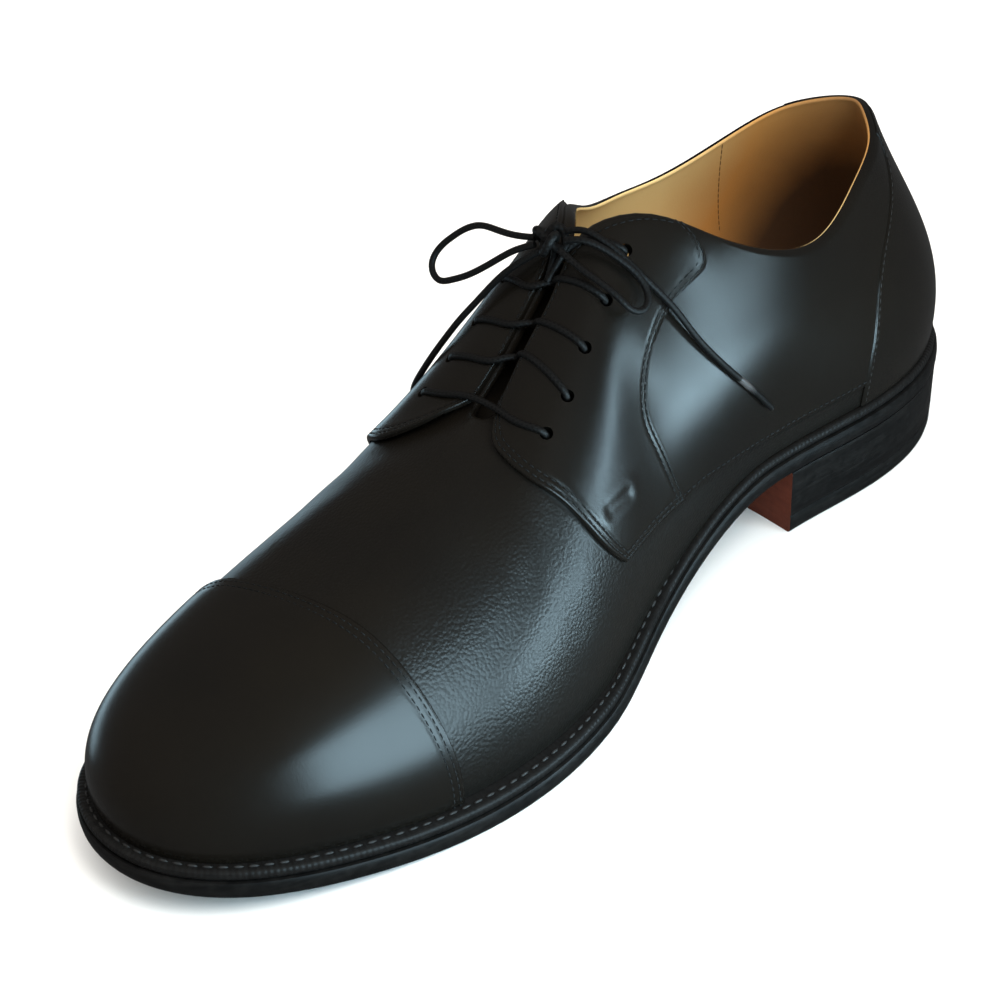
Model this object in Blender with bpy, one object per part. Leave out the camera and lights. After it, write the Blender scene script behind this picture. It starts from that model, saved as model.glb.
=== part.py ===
"""Cap toe derby for the right foot: leather shoe with welt, stacked heel, open lacing and a tied bow.

The toe points to +X, the arch side to +Y and the floor is z = 0.  One function gives the outer face of
the upper: `turn` runs round the shoe from the back of the heel (0) along the outer side to the toe (pi)
and home along the arch side (2 pi), and `rise` runs from the welt (0) to the top edge (1).  Overlays,
tongue, lace and lining clearances are all measured from that face.
"""
import bpy
import bmesh
import numpy as np

MM = 0.001
FULL_TURN = 2 * np.pi

# Driving sizes
LENGTH = 306 * MM
HEEL_HEIGHT = 21.2 * MM
HEEL_SHARE = 0.295
TREAD_FROM = 0.60
TREAD_TO = 0.73
TOE_SPRING = 9.8 * MM
OUTSOLE_THICK = 4.7 * MM
WELT_THICK = 2.7 * MM
INSOLE_THICK = 3 * MM
WALL = 2.2 * MM
OVERLAY = 1.2 * MM
TONGUE_THICK = 2 * MM
GAP = 0.3 * MM
EYELET_RADIUS = 1.7 * MM
LACE_RADIUS = 0.9 * MM
CAP_LINE = 0.7855
CAP_SLANT = -0.135

# Sizes that follow
WELT_STEP = 0.8 * MM
WELT_FLANGE = 9 * MM
INSOLE_CLEAR = 0.6 * MM
TONGUE_CLEAR = 0.8 * MM
WELT_TOP = OUTSOLE_THICK + GAP + WELT_THICK
FEATHER_RISE = WELT_TOP + GAP
OVERLAY_SEAT = 0.5 * MM
OVER_FACING = OVERLAY_SEAT + OVERLAY
LACE_LIFT = OVER_FACING + GAP + LACE_RADIUS
HEEL_FLAT = HEEL_SHARE + 0.02
LEAN_TO_OUTLINE = 15 * MM
OVERLAY_FOOT = 0.012
SIDES = {-1: "lateral", 1: "medial"}
FLAP_SPRING = {-1: 2.2 * MM, 1: 0.7 * MM}

# Mesh steps
TURN_STEPS = 72
RISE_STEPS = 12
SOLE_STATIONS = 36
TUBE_SIDES = 6


def table(columns, rows):
    """Named columns of a short table."""
    return dict(zip(columns.split(), np.array(rows, float).T))


# Half widths of the sole, in mm, at shares of its length
SOLE_PLAN = table("along lateral medial", (
    (0.000, 0.0, 0.0),
    (0.040, -24.2, 24.2),
    (0.110, -33.6, 35.2),
    (0.200, -35.5, 37.0),
    (0.290, -35.0, 33.8),
    (0.390, -36.5, 34.2),
    (0.500, -42.0, 40.4),
    (0.600, -48.7, 51.4),
    (0.690, -52.0, 56.0),
    (0.780, -50.7, 53.0),
    (0.870, -43.8, 44.2),
    (0.950, -31.2, 31.2),
    (1.000, 2.0, 2.0),
))

# Welt standing out from the upper, in mm
WELT_MARGIN = table("along lateral medial", (
    (0.00, 3.0, 3.0),
    (0.25, 3.0, 2.5),
    (0.42, 3.5, 2.5),
    (0.62, 5.5, 5.0),
    (0.80, 6.0, 6.0),
    (1.00, 6.0, 6.0),
))

# Ribs of the last: where each one ends at the top edge and how it leaves welt and edge, in mm
RIBS = table("along top_along top_lateral top_medial height_lateral height_medial"
             " wall_out wall_up top_out top_down", (
    (0.000, 0.062, 0.0, 0.0, 98.2, 98.2, 5.9, 27.2, 6.6, 25.4),
    (0.030, 0.083, -10.6, 10.6, 97.8, 97.8, 6.2, 27.2, 7.6, 24.3),
    (0.080, 0.112, -19.0, 18.8, 95.3, 95.3, 6.0, 26.8, 7.2, 23.3),
    (0.160, 0.165, -26.6, 25.6, 89.4, 90.4, 5.5, 24.5, 6.6, 21.8),
    (0.250, 0.229, -32.3, 31.0, 84.8, 85.7, 5.1, 22.2, 6.4, 20.0),
    (0.330, 0.290, -32.0, 30.8, 86.8, 88.8, 5.0, 22.0, 7.0, 18.0),
    (0.390, 0.348, -25.0, 23.6, 93.6, 99.0, 5.0, 24.0, 9.8, 14.0),
    (0.435, 0.397, -13.8, 13.6, 103.4, 109.2, 5.0, 25.2, 14.2, 8.0),
    (0.470, 0.436, -2.0, 6.2, 107.4, 108.8, 5.0, 26.0, 19.8, 4.8),
    (0.530, 0.477, 0.4, 6.0, 98.0, 99.0, 4.9, 26.0, 24.0, 3.4),
    (0.610, 0.523, 0.8, 7.6, 85.6, 86.8, 4.8, 24.9, 25.8, 4.0),
    (0.690, 0.562, 0.8, 9.2, 76.4, 77.0, 4.8, 24.6, 27.6, 6.8),
    (0.780, 0.581, 1.8, 8.4, 73.6, 73.8, 4.4, 25.5, 34.0, 12.8),
    (0.880, 0.586, 3.4, 6.6, 73.6, 73.6, 4.8, 27.2, 51.4, 21.6),
    (1.000, 0.588, 5.0, 5.0, 74.0, 74.0, 5.2, 29.4, 70.8, 32.0),
))

# Back seam and front edge of an eyelet flap, from the throat down to its lower corner
FLAP_EDGES = table("down back_along back_rise front_lateral front_medial front_rise", (
    (0.00, 0.415, 1.000, 0.722, 0.715, 1.000),
    (0.05, 0.409, 0.945, 0.751, 0.736, 0.970),
    (0.10, 0.405, 0.885, 0.770, 0.748, 0.935),
    (0.20, 0.413, 0.785, 0.766, 0.728, 0.865),
    (0.40, 0.450, 0.630, 0.712, 0.672, 0.712),
    (0.60, 0.479, 0.510, 0.656, 0.626, 0.570),
    (0.80, 0.470, 0.390, 0.603, 0.583, 0.410),
    (1.00, 0.446, 0.200, 0.555, 0.547, 0.288),
))

# Edge of the heel counter from the welt up to the collar
COUNTER_EDGE = table("rise along", (
    (0.00, 0.203),
    (0.17, 0.200),
    (0.35, 0.192),
    (0.52, 0.182),
    (0.69, 0.150),
    (0.79, 0.108),
    (0.88, 0.076),
    (1.00, 0.062),
))

# Punched holes of the flaps, from the throat upwards
EYELETS = table("along_lateral rise_lateral along_medial rise_medial", (
    (0.655, 0.775, 0.632, 0.749),
    (0.612, 0.795, 0.590, 0.756),
    (0.568, 0.810, 0.547, 0.785),
    (0.520, 0.815, 0.497, 0.780),
    (0.475, 0.855, 0.461, 0.848),
))
EYELET_PAIRS = len(EYELETS["along_lateral"])

# Tongue from under the vamp to its top: place along the throat and how far it sinks, in mm
TONGUE_ROWS = table("along sink", (
    (0.745, 0.0),
    (0.700, 0.0),
    (0.650, 0.0),
    (0.600, 0.0),
    (0.550, 0.2),
    (0.515, 0.6),
    (0.490, 1.4),
    (0.470, 2.2),
    (0.452, 2.6),
))

# Outline of the heel block at its levels: height as a share, set in from the sole in mm
HEEL_LEVELS = table("height inset", (
    (0.00, 2.2),
    (0.25, 1.8),
    (0.27, 2.3),
    (0.29, 1.7),
    (1.00, 0.5),
))

# Places along the throat where the lace of each pair of eyelets leaves its flap
LACE_EDGES = table("lateral medial", (
    (0.715, 0.715),
    (0.646, 0.621),
    (0.596, 0.581),
    (0.548, 0.530),
    (0.500, 0.490),
))

# Free lace, in mm from the back of the heel on the floor
KNOT_CENTRE = (145.4, 2.6, 108.8)
KNOT_HALF = (3.8, 4.2, 2.8)
KNOT_RUNS = {-1: ((140.6, -3.6, 107.2), (142.7, 2.0, 105.4)), 1: ((137.4, 11.4, 108.3), (141.3, 5.6, 107.4))}
LOOP_LATERAL = ((146.0, -2.2, 108.1), (147.0, -8.0, 107.3), (147.3, -14.8, 106.9), (147.4, -21.3, 106.3),
                (148.3, -25.9, 104.3), (150.0, -30.0, 101.2), (152.2, -33.2, 97.4), (154.2, -34.4, 94.4),
                (155.5, -33.0, 92.1), (155.9, -29.6, 91.4), (155.4, -25.8, 92.4), (154.4, -21.2, 94.6),
                (152.8, -16.4, 97.6), (151.2, -11.2, 101.4), (149.6, -6.2, 104.8), (147.6, -0.9, 107.2))
LOOP_MEDIAL = ((144.9, 7.5, 109.7), (143.6, 10.6, 110.4), (140.8, 15.0, 108.7), (138.3, 19.2, 105.2),
               (135.9, 22.6, 100.9), (134.6, 25.4, 96.8), (135.3, 27.3, 94.0), (138.2, 27.8, 93.6),
               (141.2, 26.0, 95.8), (143.8, 22.4, 99.4), (145.8, 17.2, 102.8), (146.8, 11.4, 105.8),
               (146.6, 6.9, 107.6))
END_LATERAL = ((147.9, 1.1, 106.2), (150.0, -3.4, 102.8), (152.0, -8.0, 98.9), (154.1, -12.5, 93.9),
               (156.4, -16.0, 89.3), (159.3, -19.0, 85.0), (162.0, -22.0, 80.2), (164.8, -25.2, 74.7),
               (166.5, -28.4, 69.4), (166.9, -32.2, 63.4), (164.9, -35.9, 56.4), (161.6, -38.8, 49.6),
               (158.4, -40.8, 42.8))
END_MEDIAL = ((142.0, 5.2, 110.4), (140.2, 8.8, 111.0), (138.6, 12.6, 109.6), (135.7, 18.7, 104.2),
              (132.8, 23.3, 98.0), (129.0, 27.8, 90.5), (124.8, 31.2, 81.1), (119.2, 33.6, 72.0),
              (113.4, 35.1, 64.3), (107.2, 35.8, 56.6), (101.2, 35.6, 49.0))


def spline(knots, values, period=None):
    """Cubic curve through values: natural at its ends, or closed when a period is given."""
    knots = np.asarray(knots, float)
    values = np.asarray(values, float)
    count = len(knots)
    if period:
        spans = np.diff(np.append(knots, knots[0] + period))
    else:
        spans = np.append(np.diff(knots), 1.0)
    rows = np.eye(count)
    right = np.zeros(count)
    for i in range(count):
        if not period and i in (0, count - 1):
            continue
        before, after = (i - 1) % count, (i + 1) % count
        rows[i, i] = 2 * (spans[before] + spans[i])
        rows[i, before] = spans[before]
        rows[i, after] = spans[i]
        slope_in = (values[i] - values[before]) / spans[before]
        slope_out = (values[after] - values[i]) / spans[i]
        right[i] = 6 * (slope_out - slope_in)
    bends = np.linalg.solve(rows, right)
    last = count - 1 if period else count - 2

    def value(at):
        at = np.asarray(at, float)
        if period:
            at = knots[0] + np.mod(at - knots[0], period)
        i = np.clip(np.searchsorted(knots, at, side="right") - 1, 0, last)
        j = (i + 1) % count
        far = (at - knots[i]) / spans[i]
        near = 1 - far
        bulge = (near ** 3 - near) * bends[i] + (far ** 3 - far) * bends[j]
        return near * values[i] + far * values[j] + bulge * spans[i] ** 2 / 6
    return value


def turn_at(along):
    """Turn of the outer side at a share of the sole's length; negative for the arch side."""
    return np.arccos(1 - 2 * np.asarray(along, float))


def round_shoe(rows, lateral, medial, unit=MM):
    """Closed curve in turn through a table's two sides."""
    turns = turn_at(rows["along"])
    knots = np.concatenate([turns, FULL_TURN - turns[-2:0:-1]])
    values = np.concatenate([rows[lateral], rows[medial][-2:0:-1]])
    return spline(knots, values * unit, FULL_TURN)


SOLE_ACROSS = round_shoe(SOLE_PLAN, "lateral", "medial")
WELT_OUT = round_shoe(WELT_MARGIN, "lateral", "medial")
TOP_ALONG = round_shoe(RIBS, "top_along", "top_along", LENGTH)
TOP_ACROSS = round_shoe(RIBS, "top_lateral", "top_medial")
TOP_HEIGHT = round_shoe(RIBS, "height_lateral", "height_medial")
WALL_OUT = round_shoe(RIBS, "wall_out", "wall_out")
WALL_UP = round_shoe(RIBS, "wall_up", "wall_up")
TOP_OUT = round_shoe(RIBS, "top_out", "top_out")
TOP_DOWN = round_shoe(RIBS, "top_down", "top_down")


def unit_rows(vectors):
    """Vectors along the last axis, each of length one."""
    return vectors / np.linalg.norm(vectors, axis=-1, keepdims=True)


def with_height(plan, height):
    """Plan points lifted to their heights."""
    return np.concatenate([plan, np.asarray(height)[..., None]], -1)


def sole_edge(turn):
    """Outline of the sole in plan."""
    return np.stack([LENGTH / 2 * (1 - np.cos(turn)), SOLE_ACROSS(turn)], -1)


def sole_outward(turn):
    """Plan direction square to the sole's outline."""
    step = 1e-4
    run = sole_edge(turn + step) - sole_edge(turn - step)
    return unit_rows(np.stack([run[..., 1], -run[..., 0]], -1))


def sole_inset(turn, inset):
    """Outline of the sole drawn in by a width."""
    return sole_edge(turn) - sole_outward(turn) * np.asarray(inset)[..., None]


def ease(start, end, at):
    """Soft step from 0 to 1."""
    share = np.clip((at - start) / (end - start), 0, 1)
    return share * share * (3 - 2 * share)


def tread_height(along):
    """Underside of the sole above the floor: heel seat, arch, flat tread and toe spring."""
    share = along / LENGTH
    arch = HEEL_HEIGHT * (1 - ease(HEEL_FLAT, TREAD_FROM, share))
    spring = np.clip((share - TREAD_TO) / (1 - TREAD_TO), 0, None)
    return arch + TOE_SPRING * spring ** 2


def upper_point(turn, rise):
    """Outer face of the upper."""
    turn, rise = np.broadcast_arrays(np.asarray(turn, float), np.asarray(rise, float))
    plan = sole_inset(turn, WELT_OUT(turn))
    foot = with_height(plan, tread_height(plan[..., 0]) + FEATHER_RISE)
    top = np.stack([TOP_ALONG(turn), TOP_ACROSS(turn), TOP_HEIGHT(turn)], -1)
    lean = unit_rows(plan - top[..., :2] + LEAN_TO_OUTLINE * sole_outward(turn))
    low_handle = foot + with_height(lean * WALL_OUT(turn)[..., None], WALL_UP(turn))
    high_handle = top + with_height(lean * TOP_OUT(turn)[..., None], -TOP_DOWN(turn))
    up = rise[..., None]
    down = 1 - up
    return (down ** 3 * foot + 3 * up * down ** 2 * low_handle
            + 3 * up ** 2 * down * high_handle + up ** 3 * top)


def upper_normal(turn, rise):
    """Outward direction of the upper's outer face."""
    step = 1e-3
    round_run = upper_point(turn + step, rise) - upper_point(turn - step, rise)
    up_run = upper_point(turn, rise + step) - upper_point(turn, rise - step)
    return unit_rows(np.cross(round_run, up_run))


def on_upper(turn, rise, lift):
    """Point a little off the upper's outer face."""
    turn, rise = np.broadcast_arrays(np.asarray(turn, float), np.asarray(rise, float))
    return upper_point(turn, rise) + upper_normal(turn, rise) * np.asarray(lift)[..., None]


def over_throat(along, across, lift):
    """Point on the smooth bridge between the two throat edges; across runs from -1 to 1."""
    sides = []
    for side in (-1, 1):
        turn = -side * turn_at(along)
        edge = upper_point(turn, 1.0)
        inward = unit_rows(edge - upper_point(turn, 0.97))
        sides.append((edge, inward))
    (left, left_run), (right, right_run) = sides
    width = np.linalg.norm(right - left)
    share = (across + 1) / 2
    rest = 1 - share
    point = (rest ** 3 * left + 3 * share * rest ** 2 * (left + left_run * width / 3)
             + 3 * share ** 2 * rest * (right + right_run * width / 3) + share ** 3 * right)
    return point + unit_rows(upper_normal(turn_at(along), 1.0) + upper_normal(-turn_at(along), 1.0)) * lift


def smooth_path(points, count):
    """Even points on a smooth curve through hand-set points."""
    points = np.asarray(points, float)
    steps = np.linalg.norm(np.diff(points, axis=0), axis=1)
    knots = np.concatenate([[0], np.cumsum(steps)])
    at = np.linspace(0, knots[-1], count)
    return np.stack([spline(knots, points[:, k])(at) for k in range(3)], -1)


def frame_origin():
    """Middle of the sole on the floor."""
    edge = sole_edge(np.linspace(0, FULL_TURN, 2 * SOLE_STATIONS, endpoint=False))
    middle = (edge.min(axis=0) + edge.max(axis=0)) / 2
    return np.array([middle[0], middle[1], 0.0])


ORIGIN = frame_origin()


def leather(name, colour, roughness):
    """Plain shader with the colour of one finish."""
    material = bpy.data.materials.new(name)
    material.use_nodes = True
    shader = material.node_tree.nodes["Principled BSDF"]
    shader.inputs["Base Color"].default_value = (*colour, 1.0)
    shader.inputs["Roughness"].default_value = roughness
    shader.inputs["Metallic"].default_value = 0.0
    return material


def new_object(name, data, material):
    """Object of the shoe in the scene."""
    thing = bpy.data.objects.new(name, data)
    if material:
        data.materials.append(material)
    bpy.context.scene.collection.objects.link(thing)
    return thing


def solid(name, points, faces, material):
    """Closed mesh with its faces turned outwards."""
    mesh = bpy.data.meshes.new(name)
    mesh.from_pydata((np.asarray(points) - ORIGIN).tolist(), [], faces)
    work = bmesh.new()
    work.from_mesh(mesh)
    bmesh.ops.recalc_face_normals(work, faces=work.faces)
    work.to_mesh(mesh)
    work.free()
    mesh.shade_smooth()
    mesh.set_sharp_from_angle(angle=np.radians(35))
    return new_object(name, mesh, material)


def wall(name, outer, inner, material, ring=False):
    """Solid between two matching grids of points, closed along its edges."""
    columns, rows = outer.shape[:2]
    points = np.concatenate([outer.reshape(-1, 3), inner.reshape(-1, 3)])

    def out(i, j):
        return (i % columns) * rows + j

    def back(i, j):
        return columns * rows + out(i, j)

    faces = []
    for i in range(columns if ring else columns - 1):
        for j in range(rows - 1):
            faces.append((out(i, j), out(i + 1, j), out(i + 1, j + 1), out(i, j + 1)))
            faces.append((back(i, j), back(i, j + 1), back(i + 1, j + 1), back(i + 1, j)))
        for j in (0, rows - 1):
            faces.append((out(i, j), out(i + 1, j), back(i + 1, j), back(i, j)))
    if not ring:
        for i in (0, columns - 1):
            for j in range(rows - 1):
                faces.append((out(i, j), out(i, j + 1), back(i, j + 1), back(i, j)))
    return solid(name, points, faces, material)


def overlay(name, turn, rise, material, spring=0.0):
    """Leather laid on the upper over a grid of turns and rises, sprung off it where stated."""
    face = on_upper(turn, rise, OVER_FACING + spring)
    return wall(name, face, on_upper(turn, rise, OVERLAY_SEAT + spring), material)


def plate(name, inset, low, high, material):
    """Solid with the sole's outline drawn in by a width, between two heights over the tread."""
    turn = np.linspace(0, FULL_TURN, 2 * SOLE_STATIONS, endpoint=False)
    edge = sole_inset(turn, np.broadcast_to(inset, turn.shape))
    height = tread_height(edge[:, 0])
    points = np.concatenate([with_height(edge, height + low), with_height(edge, height + high)])
    count = len(turn)
    faces = [(i, (i + 1) % count, count + (i + 1) % count, count + i) for i in range(count)]
    for level in (0, count):
        faces.append((level, level + 1, level + count - 1))
        for i in range(1, SOLE_STATIONS - 1):
            faces.append((level + i, level + i + 1, level + count - i - 1, level + count - i))
        faces.append((level + SOLE_STATIONS - 1, level + SOLE_STATIONS, level + SOLE_STATIONS + 1))
    return solid(name, points, faces, material)


def make_sole(black, tan):
    """Outsole, welt ring with its inner flange, and insole board."""
    turn = np.linspace(0, FULL_TURN, TURN_STEPS, endpoint=False)
    plate("outsole", 0.0, 0.0, OUTSOLE_THICK, black)
    rim = sole_inset(turn, np.full(TURN_STEPS, WELT_STEP))
    flange = sole_inset(turn, WELT_OUT(turn) + WALL + WELT_FLANGE)
    levels = []
    for edge in (rim, flange):
        height = tread_height(edge[:, 0])
        low = with_height(edge, height + OUTSOLE_THICK + GAP)
        high = with_height(edge, height + WELT_TOP)
        levels.append(np.stack([low, high], 1))
    wall("welt", levels[0], levels[1], black, ring=True)
    station = np.linspace(0, FULL_TURN, 2 * SOLE_STATIONS, endpoint=False)
    inset = WELT_OUT(station) + WALL + INSOLE_CLEAR
    plate("insole", inset, FEATHER_RISE, FEATHER_RISE + INSOLE_THICK, tan)


def make_heel(material):
    """Heel block with a top lift and a hollowed breast."""
    breast_hollow = 3 * MM
    breast_points = 5
    turn = np.linspace(-turn_at(HEEL_SHARE), turn_at(HEEL_SHARE), SOLE_STATIONS)
    rings = []
    for share, inset in zip(HEEL_LEVELS["height"], HEEL_LEVELS["inset"]):
        edge = sole_inset(turn, np.full(SOLE_STATIONS, inset * MM))
        across = np.linspace(0, 1, breast_points + 2)[1:-1, None]
        breast = edge[-1] + (edge[0] - edge[-1]) * across
        breast[:, 0] -= breast_hollow * np.sin(np.pi * across[:, 0])
        ring = np.concatenate([edge, breast])
        rings.append(with_height(ring, np.full(len(ring), share * (HEEL_HEIGHT - GAP))))
    count = len(rings[0])
    faces = [tuple(range(count)), tuple(range((len(rings) - 1) * count, len(rings) * count))]
    for level in range(len(rings) - 1):
        for i in range(count):
            j = (i + 1) % count
            faces.append((level * count + i, level * count + j, (level + 1) * count + j, (level + 1) * count + i))
    solid("heel", np.concatenate(rings), faces, material)


def make_upper(material):
    """Vamp and quarters in one hollow wall, open at the collar, the throat and underneath."""
    turn = np.linspace(0, FULL_TURN, TURN_STEPS, endpoint=False)[:, None]
    rise = np.linspace(0, 1, RISE_STEPS + 1)[None, :]
    outer = upper_point(turn, rise)
    inner = on_upper(turn, rise, -WALL)
    inner[:, 0, 2] = outer[:, 0, 2]
    return wall("upper", outer, inner, material, ring=True)


def make_toe_cap(material):
    """Cap over the toe, cut straight across the vamp."""
    first_column = 24
    last_column = 50
    last_row = 11
    turn = np.linspace(0, FULL_TURN, TURN_STEPS, endpoint=False)[first_column:last_column, None]
    rise = np.linspace(0, 1, RISE_STEPS + 1)[None, :last_row + 1].copy()
    rise[0, 0] = OVERLAY_FOOT
    cap = overlay("toe_cap", turn, rise, material)
    half_width = 0.4 * LENGTH
    block_depth = 0.4 * LENGTH
    corners = []
    for across in (-half_width, half_width):
        front = CAP_LINE * LENGTH + CAP_SLANT * across
        corners += [(x, across, z) for x in (front - block_depth, front) for z in (-half_width, half_width)]
    faces = [(0, 1, 3, 2), (4, 5, 7, 6), (0, 1, 5, 4), (2, 3, 7, 6), (0, 2, 6, 4), (1, 3, 7, 5)]
    boolean(cap, "DIFFERENCE", solid("cap_cutter", np.array(corners), faces, None))


def make_counter(material):
    """Heel counter: narrow at the collar and broad at the welt."""
    columns = 19
    rows = 13
    rise = np.linspace(OVERLAY_FOOT, 1, rows)
    reach = turn_at(spline(COUNTER_EDGE["rise"], COUNTER_EDGE["along"])(rise))
    turn = np.linspace(-1, 1, columns)[:, None] * reach[None, :]
    overlay("heel_counter", turn, np.broadcast_to(rise, turn.shape), material)


def flap_spring(side, share, down):
    """Front corner of a flap standing off the vamp, held down again at the throat by the lace."""
    held = 0.3 + 0.7 * ease(0.0, 0.12, down)
    return FLAP_SPRING[side] * share ** 5 * (1 - down) ** 2 * held


def make_flap(name, side, material):
    """Eyelet flap of one side, from the throat edge down to its lower corner."""
    columns = 15
    rows = 12
    down = np.linspace(0, 1, rows)
    edge = {key: spline(FLAP_EDGES["down"], FLAP_EDGES[key])(down) for key in FLAP_EDGES if key != "down"}
    back_turn = turn_at(edge["back_along"])
    front_turn = turn_at(edge["front_" + SIDES[side]])
    share = np.linspace(0, 1, columns)[:, None]
    turn = -side * (back_turn + (front_turn - back_turn) * share)
    rise = edge["back_rise"] + (edge["front_rise"] - edge["back_rise"]) * share
    return overlay(name, turn, rise, material, flap_spring(side, share, down))


def make_tongue(material):
    """Tongue under both flaps, from below the vamp to the top of the throat."""
    under = WALL + TONGUE_CLEAR
    side_rises = (0.80, 0.88, 0.95)
    middles = (-0.5, 0.0, 0.5)
    fan = 0.22
    vamp_rise = 0.92
    columns = 2 * len(side_rises) + len(middles)
    turns = np.pi + fan * (np.arange(columns) - columns // 2)
    rows = [on_upper(turns, vamp_rise, -under)]
    for along, sink in zip(TONGUE_ROWS["along"], TONGUE_ROWS["sink"]):
        turn = turn_at(along)
        depth = under + sink * MM
        row = [on_upper(turn, rise, -depth) for rise in side_rises]
        row += [over_throat(along, across, -depth) for across in middles]
        row += [on_upper(-turn, rise, -depth) for rise in reversed(side_rises)]
        rows.append(np.array(row))
    top = np.stack(rows, 1)
    round_run = np.gradient(top, axis=0)
    long_run = np.gradient(top, axis=1)
    normal = unit_rows(np.cross(round_run, long_run))
    normal *= np.sign(normal[..., 2:])
    wall("tongue", top, top - normal * TONGUE_THICK, material)


def tube(name, path, radius, material):
    """Round cord along a path, closed at both ends."""
    path = np.asarray(path, float)
    run = unit_rows(np.gradient(path, axis=0))
    side = unit_rows(np.cross(run, np.array([0.0, 0.0, 1.0])))
    lift = np.cross(side, run)
    angle = np.linspace(0, FULL_TURN, TUBE_SIDES, endpoint=False)[None, :, None]
    points = path[:, None] + radius * (np.cos(angle) * side[:, None] + np.sin(angle) * lift[:, None])
    faces = []
    for i in range(len(path) - 1):
        for j in range(TUBE_SIDES):
            k = (j + 1) % TUBE_SIDES
            base, after = i * TUBE_SIDES, (i + 1) * TUBE_SIDES
            faces.append((base + j, base + k, after + k, after + j))
    faces.append(tuple(range(TUBE_SIDES)))
    faces.append(tuple(range((len(path) - 1) * TUBE_SIDES, len(path) * TUBE_SIDES)))
    return solid(name, points.reshape(-1, 3), faces, material)


def free_cord(name, route, material):
    """Loose stretch of lace: a bevelled curve through points of a smooth route."""
    route = np.array(route, float) * MM
    length = np.linalg.norm(np.diff(route, axis=0), axis=1).sum()
    points = smooth_path(route, int(length / (7 * LACE_RADIUS)) + 2) - ORIGIN
    curve = bpy.data.curves.new(name, "CURVE")
    curve.dimensions = "3D"
    curve.bevel_depth = LACE_RADIUS
    curve.bevel_resolution = 2
    curve.use_fill_caps = True
    line = curve.splines.new("POLY")
    line.points.add(len(points) - 1)
    for knot, point in zip(line.points, points):
        knot.co = (*point, 1.0)
    return new_object(name, curve, material)


def guide(thing):
    """Keep a shape as a guide for a Boolean and out of the finished shoe."""
    thing.hide_render = True
    thing.display_type = "WIRE"
    return thing


def boolean(thing, operation, other):
    """Join or cut one shape with another."""
    step = thing.modifiers.new(operation.title(), "BOOLEAN")
    step.operation = operation
    step.solver = "EXACT"
    step.object = guide(other)


def eyelet(pair, side):
    """Turn and rise of one eyelet."""
    return -side * turn_at(EYELETS["along_" + SIDES[side]][pair]), EYELETS["rise_" + SIDES[side]][pair]


def make_eyelet_punch(side):
    """Pins through the holes of one flap."""
    reach = 7 * MM
    points, faces = [], []
    angle = np.linspace(0, FULL_TURN, TUBE_SIDES, endpoint=False)[:, None]
    for pair in range(EYELET_PAIRS):
        centre = upper_point(*eyelet(pair, side))
        normal = upper_normal(*eyelet(pair, side))
        across = unit_rows(np.cross(normal, np.array([1.0, 0.0, 0.0])))
        other = np.cross(normal, across)
        ring = EYELET_RADIUS * (np.cos(angle) * across + np.sin(angle) * other)
        base = 2 * TUBE_SIDES * pair
        points += [centre - normal * reach + ring, centre + normal * reach + ring]
        for j in range(TUBE_SIDES):
            k = (j + 1) % TUBE_SIDES
            faces.append((base + j, base + k, base + TUBE_SIDES + k, base + TUBE_SIDES + j))
        faces.append(tuple(range(base, base + TUBE_SIDES)))
        faces.append(tuple(range(base + TUBE_SIDES, base + 2 * TUBE_SIDES)))
    return solid("punch_" + SIDES[side], np.concatenate(points), faces, None)


def lace_start(pair, side):
    """Lace over one eyelet and straight to the flap's edge, high enough for the sprung flap."""
    turn, rise = eyelet(pair, side)
    edge_along = LACE_EDGES[SIDES[side]][pair]
    edge_turn = -side * turn_at(edge_along)
    edge_rise = 0.96
    back = turn_at(FLAP_EDGES["back_along"][0])
    front = turn_at(FLAP_EDGES["front_" + SIDES[side]][0])
    sprung = LACE_LIFT + flap_spring(side, (turn_at(edge_along) - back) / (front - back), 1 - edge_rise)
    return [on_upper(turn, rise, (LACE_LIFT + sprung) / 2),
            on_upper((turn + edge_turn) / 2, (rise + edge_rise) / 2, sprung), on_upper(edge_turn, edge_rise, sprung)]


def make_lace_bar(material):
    """Straight bar of lace over the lowest pair of eyelets."""
    middle = over_throat(LACE_EDGES["lateral"][0], 0.0, LACE_LIFT)
    route = lace_start(0, -1) + [middle] + lace_start(0, 1)[::-1]
    tube("lace_bar", smooth_path(route, 12), LACE_RADIUS, material)


def lace_meets(pair):
    """Place along the throat where the two runs of one pair of eyelets cross."""
    return (LACE_EDGES["lateral"][pair] + LACE_EDGES["medial"][pair]) / 2


def make_lace_crossing(pair, material):
    """Two runs of lace from one pair of eyelets over the throat, joined where they cross."""
    middle = lace_meets(pair)
    after = middle - 0.008
    runs = []
    for side in (-1, 1):
        route = lace_start(pair, side)
        route += [over_throat(middle, 0.0, 0.65 * LACE_LIFT), over_throat(after, -0.3 * side, 0.0)]
        name = f"lace_crossing_{pair}" if side > 0 else f"lace_under_{pair}"
        runs.append(tube(name, smooth_path(route, 9), LACE_RADIUS, material))
    boolean(runs[1], "UNION", runs[0])
    return runs[1]


def join_knot_runs(crossing, material):
    """Runs from the top eyelets that pass under the knot and meet on the crossing before it."""
    meet = over_throat(lace_meets(EYELET_PAIRS - 2), 0.0, 0.65 * LACE_LIFT)
    for side in (-1, 1):
        start = lace_start(EYELET_PAIRS - 1, side)[0]
        run = smooth_path([start, *(np.array(KNOT_RUNS[side]) * MM), meet], 10)
        boolean(crossing, "UNION", tube("knot_run_" + SIDES[side], run, LACE_RADIUS, material))


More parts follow.
